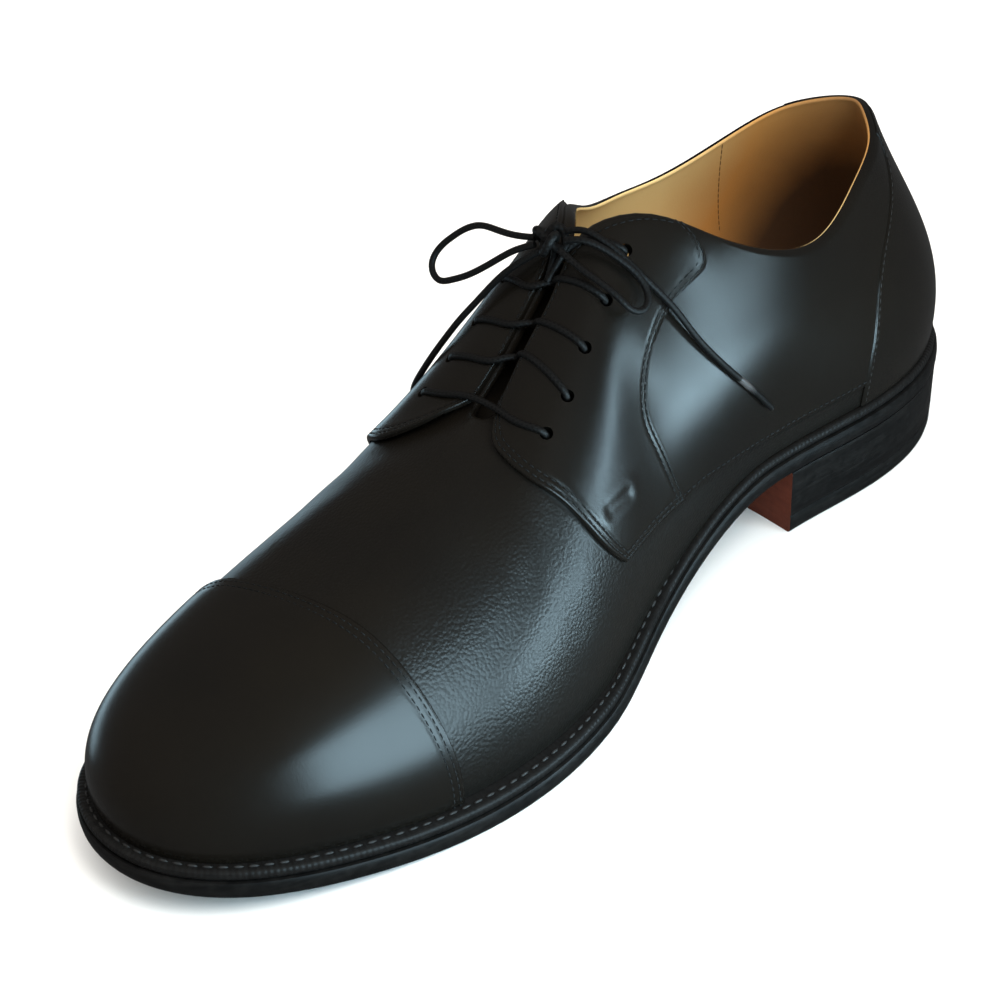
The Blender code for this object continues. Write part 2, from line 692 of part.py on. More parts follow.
def make_knot(material):
    """Knot of the bow."""
    rings = 6
    centre = np.array(KNOT_CENTRE) * MM
    half = np.array(KNOT_HALF) * MM
    tilt = np.linspace(0, np.pi, rings + 1)[1:-1]
    angle = np.linspace(0, FULL_TURN, 2 * rings, endpoint=False)
    ball = np.stack([np.outer(np.sin(tilt), np.cos(angle)), np.outer(np.sin(tilt), np.sin(angle)),
                     np.outer(np.cos(tilt), np.ones_like(angle))], -1)
    points = np.concatenate([ball.reshape(-1, 3), [[0, 0, 1], [0, 0, -1]]]) * half + centre
    around = len(angle)
    top = len(points) - 2
    faces = []
    for j in range(around):
        k = (j + 1) % around
        for i in range(rings - 2):
            faces.append((i * around + j, i * around + k, (i + 1) * around + k, (i + 1) * around + j))
        faces.append((top, j, k))
        faces.append((top + 1, (rings - 2) * around + j, (rings - 2) * around + k))
    solid("lace_knot", points, faces, material)


def make_lace(material):
    """Bar, crossings, knot, loops and ends of the lace."""
    make_lace_bar(material)
    for pair in range(1, EYELET_PAIRS - 1):
        crossing = make_lace_crossing(pair, material)
    join_knot_runs(crossing, material)
    make_knot(material)
    free_cord("lace_loop_lateral", LOOP_LATERAL, material)
    free_cord("lace_loop_medial", LOOP_MEDIAL, material)
    free_cord("lace_end_lateral", END_LATERAL, material)
    free_cord("lace_end_medial", END_MEDIAL, material)


def main():
    for thing in list(bpy.data.objects):
        bpy.data.objects.remove(thing, do_unlink=True)
    smooth_black = leather("smooth_black_leather", (0.022, 0.021, 0.020), 0.38)
    grained_black = leather("grained_black_leather", (0.024, 0.023, 0.022), 0.46)
    sole_black = leather("black_sole_edge", (0.016, 0.015, 0.014), 0.52)
    tan = leather("tan_lining", (0.52, 0.34, 0.15), 0.62)
    cord = leather("black_waxed_cord", (0.018, 0.018, 0.019), 0.55)
    make_sole(sole_black, tan)
    make_heel(sole_black)
    upper = make_upper(grained_black)
    make_toe_cap(smooth_black)
    make_counter(smooth_black)
    for name, side in (("facing_lateral", -1), ("facing_medial", 1)):
        flap = make_flap(name, side, smooth_black)
        punch = make_eyelet_punch(side)
        boolean(flap, "DIFFERENCE", punch)
        boolean(upper, "DIFFERENCE", punch)
    make_tongue(grained_black)
    make_lace(cord)


main()
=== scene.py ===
"""Cap toe derby for the right foot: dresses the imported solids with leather, lining, lace and sole.

The toe points to +X, the arch side to +Y and the floor is z = 0.  `turn` runs round the shoe from the back
of the heel (0) along the outer side to the toe (pi) and home along the arch side, and `rise` runs from the
welt (0) to the top edge (1).  Every leather piece is laid on that one face.
"""

import bmesh
import bpy
import numpy as np
from bpy.props import FloatProperty, FloatVectorProperty, PointerProperty
from mathutils import Matrix, Vector


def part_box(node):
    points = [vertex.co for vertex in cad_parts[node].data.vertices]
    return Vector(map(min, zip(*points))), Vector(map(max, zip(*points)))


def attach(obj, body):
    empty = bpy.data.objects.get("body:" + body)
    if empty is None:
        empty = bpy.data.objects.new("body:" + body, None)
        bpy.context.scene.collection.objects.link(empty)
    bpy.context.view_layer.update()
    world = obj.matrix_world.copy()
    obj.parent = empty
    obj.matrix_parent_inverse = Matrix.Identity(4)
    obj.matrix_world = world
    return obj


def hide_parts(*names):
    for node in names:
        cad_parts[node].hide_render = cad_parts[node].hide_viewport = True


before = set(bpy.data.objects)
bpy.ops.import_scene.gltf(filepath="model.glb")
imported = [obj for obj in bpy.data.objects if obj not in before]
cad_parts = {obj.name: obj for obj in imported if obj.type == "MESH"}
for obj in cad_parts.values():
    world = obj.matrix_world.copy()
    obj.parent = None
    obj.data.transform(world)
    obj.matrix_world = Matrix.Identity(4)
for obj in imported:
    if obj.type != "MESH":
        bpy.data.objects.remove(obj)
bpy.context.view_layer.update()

bl_info = {
    "name": "Cap Toe Derby",
    "version": (1, 0, 0),
    "blender": (4, 5, 0),
    "location": "View3D > Sidebar > Derby",
    "description": "Dresses the solids of a cap toe derby with leather, stitching, lace and sole edge",
    "category": "Object",
}

BODY = "root"
MM = 0.001
FULL_TURN = 2 * np.pi

# Sizes read from the solids
SOLE_LOW, SOLE_HIGH = (np.array(corner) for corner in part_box("outsole"))
LENGTH = float(SOLE_HIGH[0] - SOLE_LOW[0])
HEEL_TOP = float(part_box("heel")[1][2])

# Sizes shared with the solids; a bare share is of the sole's length
SOLE_STATIONS = 36
GAP = 0.3 * MM
HEEL_HEIGHT = HEEL_TOP + GAP
HEEL_SHARE = 0.295
TREAD_FROM = 0.60
TREAD_TO = 0.73
TOE_SPRING = 9.8 * MM
OUTSOLE_THICK = 4.7 * MM
WELT_THICK = 2.7 * MM
INSOLE_THICK = 3 * MM
WALL = 2.2 * MM
EYELET_RADIUS = 1.7 * MM
CAP_LINE = 0.7855
CAP_SLANT = -0.135
WELT_STEP = 0.8 * MM
INSOLE_CLEAR = 0.6 * MM
TONGUE_CLEAR = 0.8 * MM
TONGUE_THICK = 2 * MM
WELT_TOP = OUTSOLE_THICK + GAP + WELT_THICK
FEATHER_RISE = WELT_TOP + GAP
HEEL_FLAT = HEEL_SHARE + 0.02
LEAN_TO_OUTLINE = 15 * MM
OVER_FACING = 1.7 * MM
SIDES = {-1: "lateral", 1: "medial"}
FLAP_SPRING = {-1: 2.6 * MM, 1: 0.8 * MM}

# Overlays: gap below, first rise over the welt, rounded edge, its share of the full height, thinner counter
OVERLAY_SEAT = 0.1 * MM
OVERLAY_FOOT = 0.004
EDGE_ROUND = 0.9 * MM
EDGE_STAND = 0.45
COUNTER_SHARE = 0.5
QUARTER_STEP = 0.5 * MM

# Rows of stitches: distances from an edge, and the groove that they pull
ROW_NEAR = 1.5 * MM
ROW_FAR = 3.1 * MM
WELT_ROW = 2.4 * MM
ROW_GROOVE = 0.20 * MM
ROW_WIDTH = 0.45 * MM
THREAD_SPECKLE = 1500.0

# Throat: share of the length where the collar ends, rise down to which it is faced in black, flap tabs
COLLAR_END = 0.425
FACED_TO = 0.68
TONGUE_DROP = 2.6 * MM
TAB_DROP = 0.034
TAB_SPRING = 1.0 * MM


def table(columns, rows):
    """Named columns of a short table."""
    return dict(zip(columns.split(), np.array(rows, float).T))


# Edges of the sole on either side of its middle, in mm, at shares of its length
SOLE_PLAN = table("along lateral medial", (
    (0.000, 0.0, 0.0), (0.040, -24.2, 24.2), (0.110, -33.6, 35.2), (0.200, -35.5, 37.0),
    (0.290, -35.0, 33.8), (0.390, -36.5, 34.2), (0.500, -42.0, 40.4), (0.600, -48.7, 51.4),
    (0.690, -52.0, 56.0), (0.780, -50.7, 53.0), (0.870, -43.8, 44.2), (0.950, -31.2, 31.2),
    (1.000, 2.0, 2.0),
))

# Welt standing out from the upper, in mm
WELT_MARGIN = table("along lateral medial", (
    (0.00, 3.0, 3.0), (0.25, 3.0, 2.5), (0.42, 3.5, 2.5), (0.62, 5.5, 5.0), (0.80, 6.0, 6.0),
    (1.00, 6.0, 6.0),
))

# Ribs of the last: where each one ends at the top edge and how it leaves welt and edge, in mm
RIBS = table("along top_along top_lateral top_medial height_lateral height_medial"
             " wall_out wall_up top_out top_down", (
    (0.000, 0.062, 0.0, 0.0, 98.2, 98.2, 5.9, 27.2, 6.6, 25.4),
    (0.030, 0.083, -10.6, 10.6, 97.8, 97.8, 6.2, 27.2, 7.6, 24.3),
    (0.080, 0.112, -19.0, 18.8, 95.3, 95.3, 6.0, 26.8, 7.2, 23.3),
    (0.160, 0.165, -26.6, 25.6, 89.4, 90.4, 5.5, 24.5, 6.6, 21.8),
    (0.250, 0.229, -32.3, 31.0, 84.8, 85.7, 5.1, 22.2, 6.4, 20.0),
    (0.330, 0.290, -32.0, 30.8, 86.8, 88.8, 5.0, 22.0, 7.0, 18.0),
    (0.390, 0.348, -25.0, 23.6, 93.6, 99.0, 5.0, 24.0, 9.8, 14.0),
    (0.435, 0.397, -13.8, 13.6, 103.4, 109.2, 5.0, 25.2, 14.2, 8.0),
    (0.470, 0.436, -2.0, 6.2, 107.4, 108.8, 5.0, 26.0, 19.8, 4.8),
    (0.530, 0.477, 0.4, 6.0, 98.0, 99.0, 4.9, 26.0, 24.0, 3.4),
    (0.610, 0.523, 0.8, 7.6, 85.6, 86.8, 4.8, 24.9, 25.8, 4.0),
    (0.690, 0.562, 0.8, 9.2, 76.4, 77.0, 4.8, 24.6, 27.6, 6.8),
    (0.780, 0.581, 1.8, 8.4, 73.6, 73.8, 4.4, 25.5, 34.0, 12.8),
    (0.880, 0.586, 3.4, 6.6, 73.6, 73.6, 4.8, 27.2, 51.4, 21.6),
    (1.000, 0.588, 5.0, 5.0, 74.0, 74.0, 5.2, 29.4, 70.8, 32.0),
))

# Back seam and front edge of an eyelet flap, from the throat down to its lower corner
FLAP_EDGES = table("down back_along back_rise front_lateral front_medial front_rise", (
    (0.00, 0.415, 1.000, 0.722, 0.715, 1.000),
    (0.05, 0.409, 0.945, 0.751, 0.736, 0.970),
    (0.10, 0.405, 0.885, 0.770, 0.748, 0.935),
    (0.20, 0.413, 0.785, 0.766, 0.728, 0.865),
    (0.40, 0.450, 0.630, 0.712, 0.672, 0.712),
    (0.60, 0.479, 0.510, 0.656, 0.626, 0.570),
    (0.80, 0.470, 0.390, 0.603, 0.583, 0.410),
    (1.00, 0.446, 0.200, 0.555, 0.547, 0.288),
))

# Edge of the heel counter from the welt up to the collar
COUNTER_EDGE = table("rise along", (
    (0.00, 0.203), (0.17, 0.200), (0.35, 0.192), (0.52, 0.182), (0.69, 0.150), (0.79, 0.108), (0.88, 0.076),
    (1.00, 0.062),
))

# Punched holes of the flaps, from the throat upwards
EYELETS = table("along_lateral rise_lateral along_medial rise_medial", (
    (0.655, 0.775, 0.632, 0.749),
    (0.612, 0.795, 0.590, 0.756),
    (0.568, 0.810, 0.547, 0.785),
    (0.520, 0.815, 0.497, 0.780),
    (0.475, 0.855, 0.461, 0.848),
))
EYELET_PAIRS = len(EYELETS["along_lateral"])

# Heel block from the floor up: share of its height and how far its side is drawn in, in mm
HEEL_LEVELS = table("share inset", (
    (0.0, 3.0), (0.02, 2.45), (0.06, 2.2), (0.255, 1.8), (0.27, 1.95), (0.285, 1.93), (0.30, 1.68),
    (0.65, 1.1), (0.94, 0.55), (0.99, 0.5), (1.0, 0.6),
))

# Tongue from under the vamp to its top: place along the throat and how far it sinks, in mm
TONGUE_ROWS = table("along sink", (
    (0.745, 0.0), (0.600, 0.0), (0.550, 0.2), (0.515, 0.6), (0.490, 1.4), (0.470, 2.2), (0.452, 2.6),
))

# Lower seam of the quarters: height above the floor along the shoe, in mm
QUARTER_SEAM = table("along height", (
    (60.0, 36.2), (96.0, 36.6), (126.6, 38.7), (147.0, 37.2), (162.4, 38.5), (170.0, 39.0),
))

# Soft troughs of worn leather: width and depth in mm, then turns and rises of the run
CREASES = (
    (1.7, 0.30, ((-1.700, 0.444), (-1.680, 0.436), (-1.660, 0.427), (-1.638, 0.416))),
    (4.6, 0.20, ((4.465, 0.30), (4.411, 0.49), (4.310, 0.68), (4.092, 0.85), (3.174, 0.94), (2.292, 0.855),
                 (2.060, 0.70), (1.965, 0.55), (1.898, 0.35))),
    (4.0, 0.14, ((4.318, 0.50), (4.192, 0.66), (3.907, 0.82), (3.174, 0.886), (2.533, 0.83),
                 (2.215, 0.69))),
)

# Places along the throat where the lace of each pair of eyelets leaves its flap
LACE_EDGES = table("lateral medial", (
    (0.715, 0.715), (0.646, 0.621), (0.596, 0.581), (0.548, 0.530), (0.500, 0.490),
))

# Free lace, in mm from the back of the heel on the floor
KNOT_CENTRE = (145.4, 2.6, 108.8)
KNOT_HALF = (3.8, 4.2, 2.8)
KNOT_RUNS = {
    -1: ((140.6, -3.6, 107.2), (142.7, 2.0, 105.4)),
    1: ((137.4, 11.4, 108.3), (141.3, 5.6, 107.4)),
}
FREE_LACE = {
    "loop_lateral": (
        (146.0, -2.2, 108.1), (147.0, -8.0, 107.3), (147.3, -14.8, 106.9), (147.4, -21.3, 106.3),
        (148.3, -25.9, 104.3), (150.0, -30.0, 101.2), (152.2, -33.4, 97.4), (154.2, -34.0, 94.3),
        (155.3, -32.8, 92.4), (156.0, -29.7, 91.3), (155.4, -25.8, 92.4), (154.4, -21.2, 94.6),
        (152.8, -16.4, 97.6), (151.2, -11.2, 101.4), (149.6, -6.2, 104.8), (147.6, -0.9, 107.2),
    ),
    "loop_medial": (
        (144.9, 7.5, 109.7), (143.6, 10.6, 110.4), (140.8, 15.0, 108.7), (138.0, 19.4, 105.0),
        (136.0, 22.9, 101.2), (135.7, 25.5, 97.8), (137.0, 27.2, 95.4), (139.9, 27.9, 94.3),
        (142.8, 27.2, 95.5), (144.2, 25.2, 98.0), (145.3, 21.4, 101.0), (146.5, 14.6, 104.3),
        (146.6, 6.9, 107.6),
    ),
    "end_lateral": (
        (147.9, 1.1, 106.2), (150.0, -3.4, 102.8), (152.0, -8.0, 98.9), (154.1, -12.5, 93.9),
        (156.4, -16.0, 89.3), (159.3, -19.0, 85.0), (162.0, -22.0, 80.2), (164.8, -25.2, 74.7),
        (166.5, -28.4, 69.4), (166.9, -32.2, 63.4), (164.9, -35.9, 56.4), (161.6, -38.8, 49.6),
        (158.4, -40.8, 42.8),
    ),
    "end_medial": (
        (142.0, 5.2, 110.4), (140.2, 8.8, 111.0), (138.6, 12.6, 109.6), (135.7, 18.7, 104.2),
        (132.8, 23.3, 98.0), (129.0, 27.8, 90.5), (124.8, 31.2, 81.1), (119.2, 33.6, 72.0),
        (113.4, 35.1, 64.3), (107.2, 35.8, 56.6), (101.2, 35.6, 49.0),
    ),
}
AGLET_LENGTH = 20 * MM
AGLET_PAST = 0.6 * MM

# Lights of the studio: place, point lit and size in metres, then watts
WINDOWS = (
    ("window_heel", (-0.117, 0.190, 0.076), (-0.023, 0.031, 0.065), (0.014, 0.155), 0.15),
    ("window_flap", (-0.112, 0.178, 0.008), (0.000, 0.033, 0.055), (0.045, 0.030), 0.055),
    ("window_vamp", (-0.034, 0.205, 0.022), (0.047, 0.043, 0.040), (0.075, 0.050), 0.19),
    ("window_toe", (0.094, 0.225, 0.080), (0.100, 0.040, 0.033), (0.120, 0.150), 0.56),
    ("window_outer", (-0.020, -0.600, -0.090), (0.000, -0.030, 0.050), (0.500, 0.120), 0.36),
)
LAMPS = (
    ("ceiling", (0.10, -0.20, 1.90), (0.00, 0.00, 0.05), (6.0, 6.0), 185.0),
    ("lamp_over_arch", (0.05, 0.75, 1.00), (-0.06, -0.02, 0.08), (0.6, 0.6), 11.0),
)
WINDOW_COLOUR = (0.58, 0.85, 1.0)
LAMP_COLOUR = (1.0, 0.97, 0.93)
SKY_COLOUR = (0.98, 0.99, 1.0)
SKY_STRENGTH = 0.09
FLOOR_HALF = 30.0

# Camera of the photograph, turned to the one shoe
EYE = Vector((0.3518, 0.3821, 0.3839))
AIM = Vector((0.0147, -0.0039, 0.0394))
ROLL = np.radians(-6.34)
LENS = 84.1
FILM_WIDTH = 36.0


def spline(knots, values, period=None):
    """Cubic curve through values: natural at its ends, or closed when a period is given."""
    knots = np.asarray(knots, float)
    values = np.asarray(values, float)
    count = len(knots)
    if period:
        spans = np.diff(np.append(knots, knots[0] + period))
    else:
        spans = np.append(np.diff(knots), 1.0)
    rows = np.eye(count)
    right = np.zeros(count)
    for i in range(count):
        if not period and i in (0, count - 1):
            continue
        before, after = (i - 1) % count, (i + 1) % count
        rows[i, i] = 2 * (spans[before] + spans[i])
        rows[i, before] = spans[before]
        rows[i, after] = spans[i]
        slope_in = (values[i] - values[before]) / spans[before]
        slope_out = (values[after] - values[i]) / spans[i]
        right[i] = 6 * (slope_out - slope_in)
    bends = np.linalg.solve(rows, right)
    last = count - 1 if period else count - 2

    def value(at):
        at = np.asarray(at, float)
        if period:
            at = knots[0] + np.mod(at - knots[0], period)
        i = np.clip(np.searchsorted(knots, at, side="right") - 1, 0, last)
        j = (i + 1) % count
        far = (at - knots[i]) / spans[i]
        near = 1 - far
        bulge = (near ** 3 - near) * bends[i] + (far ** 3 - far) * bends[j]
        return near * values[i] + far * values[j] + bulge * spans[i] ** 2 / 6
    return value


def turn_at(along):
    """Turn of the outer side at a share of the sole's length; negative for the arch side."""
    return np.arccos(1 - 2 * np.asarray(along, float))


def round_shoe(rows, lateral, medial, unit=MM):
    """Closed curve in turn through a table's two sides."""
    turns = turn_at(rows["along"])
    knots = np.concatenate([turns, FULL_TURN - turns[-2:0:-1]])
    values = np.concatenate([rows[lateral], rows[medial][-2:0:-1]])
    return spline(knots, values * unit, FULL_TURN)


SOLE_ACROSS = round_shoe(SOLE_PLAN, "lateral", "medial")
WELT_OUT = round_shoe(WELT_MARGIN, "lateral", "medial")
TOP_ALONG = round_shoe(RIBS, "top_along", "top_along", LENGTH)
TOP_ACROSS = round_shoe(RIBS, "top_lateral", "top_medial")
TOP_HEIGHT = round_shoe(RIBS, "height_lateral", "height_medial")
WALL_OUT = round_shoe(RIBS, "wall_out", "wall_out")
WALL_UP = round_shoe(RIBS, "wall_up", "wall_up")
TOP_OUT = round_shoe(RIBS, "top_out", "top_out")
TOP_DOWN = round_shoe(RIBS, "top_down", "top_down")


def unit_rows(vectors):
    """Vectors along the last axis, each of length one."""
    return vectors / np.linalg.norm(vectors, axis=-1, keepdims=True)


def with_height(plan, height):
    """Plan points lifted to their heights."""
    return np.concatenate([plan, np.broadcast_to(height, plan.shape[:-1])[..., None]], -1)


def sole_edge(turn):
    """Outline of the sole in plan."""
    return np.stack([LENGTH / 2 * (1 - np.cos(turn)), SOLE_ACROSS(turn)], -1)


def sole_outward(turn):
    """Plan direction square to the sole's outline."""
    step = 1e-4
    run = sole_edge(turn + step) - sole_edge(turn - step)
    return unit_rows(np.stack([run[..., 1], -run[..., 0]], -1))


def sole_inset(turn, inset):
    """Outline of the sole drawn in by a width."""
    return sole_edge(turn) - sole_outward(turn) * np.asarray(inset)[..., None]


def ease(start, end, at):
    """Soft step from 0 to 1."""
    share = np.clip((at - start) / (end - start), 0, 1)
    return share * share * (3 - 2 * share)


def tread_height(along):
    """Underside of the sole above the floor: heel seat, arch, flat tread and toe spring."""
    share = along / LENGTH
    arch = HEEL_HEIGHT * (1 - ease(HEEL_FLAT, TREAD_FROM, share))
    spring = np.clip((share - TREAD_TO) / (1 - TREAD_TO), 0, None)
    return arch + TOE_SPRING * spring ** 2


def upper_point(turn, rise):
    """Outer face of the upper."""
    turn, rise = np.broadcast_arrays(np.asarray(turn, float), np.asarray(rise, float))
    plan = sole_inset(turn, WELT_OUT(turn))
    foot = with_height(plan, tread_height(plan[..., 0]) + FEATHER_RISE)
    top = np.stack([TOP_ALONG(turn), TOP_ACROSS(turn), TOP_HEIGHT(turn)], -1)
    lean = unit_rows(plan - top[..., :2] + LEAN_TO_OUTLINE * sole_outward(turn))
    low_handle = foot + with_height(lean * WALL_OUT(turn)[..., None], WALL_UP(turn))
    high_handle = top + with_height(lean * TOP_OUT(turn)[..., None], -TOP_DOWN(turn))
    up = rise[..., None]
    down = 1 - up
    return (down ** 3 * foot + 3 * up * down ** 2 * low_handle
            + 3 * up ** 2 * down * high_handle + up ** 3 * top)


def upper_normal(turn, rise):
    """Outward direction of the upper's outer face."""
    step = 1e-3
    round_run = upper_point(turn + step, rise) - upper_point(turn - step, rise)
    up_run = upper_point(turn, rise + step) - upper_point(turn, rise - step)
    return unit_rows(np.cross(round_run, up_run))


def on_upper(turn, rise, lift):
    """Point a little off the upper's outer face."""
    return upper_point(turn, rise) + upper_normal(turn, rise) * np.asarray(lift)[..., None]


def over_throat(along, across, lift):
    """Point on the smooth bridge between the two throat edges; across runs from -1 to 1."""
    below_edge = 0.97
    sides = []
    for side in (-1, 1):
        turn = -side * turn_at(along)
        edge = upper_point(turn, 1.0)
        inward = unit_rows(edge - upper_point(turn, below_edge))
        sides.append((edge, inward))
    (left, left_run), (right, right_run) = sides
    width = np.linalg.norm(right - left)
    share = (across + 1) / 2
    rest = 1 - share
    point = (rest ** 3 * left + 3 * share * rest ** 2 * (left + left_run * width / 3)
             + 3 * share ** 2 * rest * (right + right_run * width / 3) + share ** 3 * right)
    return point + unit_rows(upper_normal(turn_at(along), 1.0) + upper_normal(-turn_at(along), 1.0)) * lift


def run_lengths(points, axis, backwards=False):
    """Distance along a grid's lines from their first, or last, point."""
    steps = np.linalg.norm(np.diff(points, axis=axis), axis=-1)
    if backwards:
        steps = np.flip(steps, axis)
    total = np.concatenate([np.zeros_like(np.take(steps, [0], axis)), np.cumsum(steps, axis)], axis)
    return np.flip(total, axis) if backwards else total


def even_run(points, count, *others):
    """Values that go with points, at even steps along the run of the points."""
    lengths = run_lengths(points, 0)
    at = np.linspace(0, lengths[-1], count)
    return [np.interp(at, lengths, values) for values in others]


def smooth_path(points, count):
    """Even points on a smooth curve through given points."""
    knots = run_lengths(points, 0)
    at = np.linspace(0, knots[-1], count)
    return np.stack([spline(knots, column)(at) for column in points.T], -1)


def furthest(holds, count):
    """Largest shares from 0 to 1 for which a test still holds, found by halving."""
    near = np.zeros(count)
    far = np.ones(count)
    for _ in range(40):
        middle = (near + far) / 2
        inside = holds(middle)
        near = np.where(inside, middle, near)
        far = np.where(inside, far, middle)
    return near


def frame_origin():
    """Middle of the sole on the floor."""
    edge = sole_edge(np.linspace(0, FULL_TURN, 2 * SOLE_STATIONS, endpoint=False))
    middle = (edge.min(axis=0) + edge.max(axis=0)) / 2
    return np.array([middle[0], middle[1], 0.0])


ORIGIN = frame_origin()


def crease(points):
    """How far worn leather stands off the smooth face: troughs with a low ridge on either side."""
    ridge_share = 0.35
    ridge_place = 1.9
    total = np.zeros(points.shape[:-1])
    for width, depth, run in CREASES:
        line = smooth_path(upper_point(*np.array(run).T), 40)
        away = np.linalg.norm(points[..., None, :] - line, axis=-1).min(axis=-1) / (width * MM)
        total += depth * MM * (ridge_share * np.exp(-(away - ridge_place) ** 2) - np.exp(-away ** 2))
    return total


def surface(turn, rise, lift):
    """Point off the worn face of the upper."""
    return on_upper(turn, rise, lift + crease(upper_point(turn, rise)))


class Wire:
    """Socket of a node tree that can stand in a sum."""

    def __init__(self, tree, socket):
        self.tree = tree
        self.socket = socket

    def output(self, key):
        """Another output of the same node."""
        return Wire(self.tree, self.socket.node.outputs[key])

    def math(self, operation, *values):
        """Math node on wires and numbers."""
        return self.tree.node("ShaderNodeMath", {"operation": operation}, dict(enumerate(values)))

    def __add__(self, other):
        return self.math("ADD", self, other)

    def __sub__(self, other):
        return self.math("SUBTRACT", self, other)

    def __rsub__(self, other):
        return self.math("SUBTRACT", other, self)

    def __mul__(self, other):
        return self.math("MULTIPLY", self, other)

    __radd__ = __add__
    __rmul__ = __mul__

    def sine(self):
        """Wave between -1 and 1."""
        return self.math("SINE", self)

    def largest(self, other):
        """Larger of two."""
        return self.math("MAXIMUM", self, other)


class NodeTree:
    """Nodes of a material or of a modifier in the making."""

    def __init__(self, tree):
        self.tree = tree

    def node(self, kind, settings=None, inputs=None, output=0):
        """New node with its settings made before its sockets are fed."""
        made = self.tree.nodes.new(kind)
        for key, value in (settings or {}).items():
            if key == "stops":
                self.set_stops(made.color_ramp, value)
            else:
                setattr(made, key, value)
        for key, value in (inputs or {}).items():
            self.feed(made.inputs[key], value)
        return Wire(self, made.outputs[output]) if len(made.outputs) else None

    def set_stops(self, ramp, stops):
        """Colours of a ramp at their places."""
        while len(ramp.elements) < len(stops):
            ramp.elements.new(1.0)
        for element, (place, colour) in zip(ramp.elements, stops):
            element.position = place
            element.color = rgba(colour)

    def feed(self, socket, value):
        """Link a wire to a socket, or set its value."""
        if isinstance(value, Wire):
            self.tree.links.new(value.socket, socket)
        else:
            socket.default_value = value


class Finish(NodeTree):
    """Material in the making, with one Principled shader."""

    def __init__(self, name):
        self.material = bpy.data.materials.new(name)
        self.material.use_nodes = True
        super().__init__(self.material.node_tree)
        self.shader = self.tree.nodes["Principled BSDF"]

    def set(self, **sockets):
        """Values or wires for the shader, named with underscores for spaces."""
        for key, value in sockets.items():
            self.feed(self.shader.inputs[key.replace("_", " ")], value)
        return self.material

    def place(self):
        """Place on the shoe."""
        return self.node("ShaderNodeTexCoord", output="Object")

    def split_place(self):
        """Place on the shoe with X, Y and Z as outputs."""
        return self.node("ShaderNodeSeparateXYZ", None, {0: self.place()})

    def split_map(self):
        """Place on the piece's own map: X along it and Y round it."""
        return self.node("ShaderNodeSeparateXYZ", None, {0: self.node("ShaderNodeUVMap")})

    def noise(self, scale, detail=3.0, place=None):
        """Soft noise from 0 to 1."""
        return self.node("ShaderNodeTexNoise", None,
                         {"Vector": place or self.place(), "Scale": scale, "Detail": detail})

    def cells(self, size, place=None):
        """Cells of a size: distance from the middle of the nearest."""
        return self.node("ShaderNodeTexVoronoi", None, {"Vector": place or self.place(), "Scale": 1 / size})

    def mix(self, share, first, second):
        """Colour between two."""
        return self.node("ShaderNodeMix", {"data_type": "RGBA"},
                         {0: share, 6: rgba(first), 7: rgba(second)}, output=2)

    def bump(self, height, strength, depth, under=None):
        """Relief by a height, over another relief where one is given."""
        inputs = {"Height": height, "Strength": strength, "Distance": depth}
        if under:
            inputs["Normal"] = under
        return self.node("ShaderNodeBump", None, inputs)

    def range(self, value, start, end, at_start=0.0, at_end=1.0):
        """Value carried from one range to another."""
        return self.node("ShaderNodeMapRange", None, {0: value, 1: start, 2: end, 3: at_start, 4: at_end})


def rgba(colour):
    """Colour with full alpha."""
    return (*colour, 1.0)


def leather(name, colours, grain):
    """Black leather: brown undertone in patches, pores, and pebbled grain where the grain wire is one."""
    pore = 0.42 * MM
    pebble = 0.92 * MM
    finish = Finish(name)
    grain = grain(finish)
    patches = finish.noise(scale=22.0, detail=4.0)
    scatter = finish.noise(scale=900.0, detail=2.0).output("Color")
    uneven = finish.node("ShaderNodeVectorMath", {"operation": "MULTIPLY_ADD"},
                         {0: scatter, 1: (0.3 * pebble,) * 3, 2: finish.place()})
    pebbles = finish.cells(pebble, uneven)
    wear = finish.noise(scale=65.0, detail=5.0)
    fine = finish.bump(finish.cells(pore), strength=0.22, depth=0.05 * MM)
    return finish.set(Base_Color=finish.mix(patches, colours.leather, colours.undertone),
                      Roughness=0.25 + 0.10 * grain + 0.08 * (wear - 0.5),
                      Normal=finish.bump((1 - pebbles) * grain, strength=0.6, depth=0.14 * MM, under=fine),
                      Specular_IOR_Level=0.42)


def smooth_leather(colours):
    """Leather of cap, flaps and counter, with a trace of grain."""
    return leather("smooth_black_leather", colours, lambda finish: finish.noise(scale=40.0) * 0.12)


def grained_leather(colours):
    """Leather of vamp, quarters and tongue, grained by the piece's own attribute."""
    def grain(finish):
        return finish.node("ShaderNodeAttribute", {"attribute_name": "grain"}, output="Fac")

    return leather("grained_black_leather", colours, grain)


def lining_leather(colours):
    """Tan lining with painted shade: pale at the collar, browner and darker deeper down, and dark brown in
    the heel, where shade falls inside the shoe.
    """
    finish = Finish("tan_lining")
    spot = finish.split_place()
    # Painted shade: the lining darkens deeper down in the shoe, where less light reaches
    depth = finish.range(spot.output("Z"), start=0.034, end=0.084, at_start=0.36, at_end=0.0)
    # Painted shade: the lining darkens towards the back of the heel, where it lies in shade
    heel = finish.range(spot.output("X"), start=-0.084, end=-0.136, at_end=0.74)
    stain = finish.noise(scale=38.0, detail=5.0)
    stops = ((0.0, colours.lining), (0.45, colours.lining_deep_shade), (0.85, colours.lining_heel_shade))
    colour = finish.node("ShaderNodeValToRGB", {"stops": stops}, {0: depth + heel + 0.16 * (stain - 0.5)})
    pores = finish.cells(0.6 * MM)
    nap = finish.noise(scale=900.0, detail=2.0)
    return finish.set(Base_Color=colour, Roughness=0.62 + 0.16 * (nap - 0.5), Specular_IOR_Level=0.3,
                      Normal=finish.bump(pores + 0.5 * nap, strength=0.25, depth=0.08 * MM))


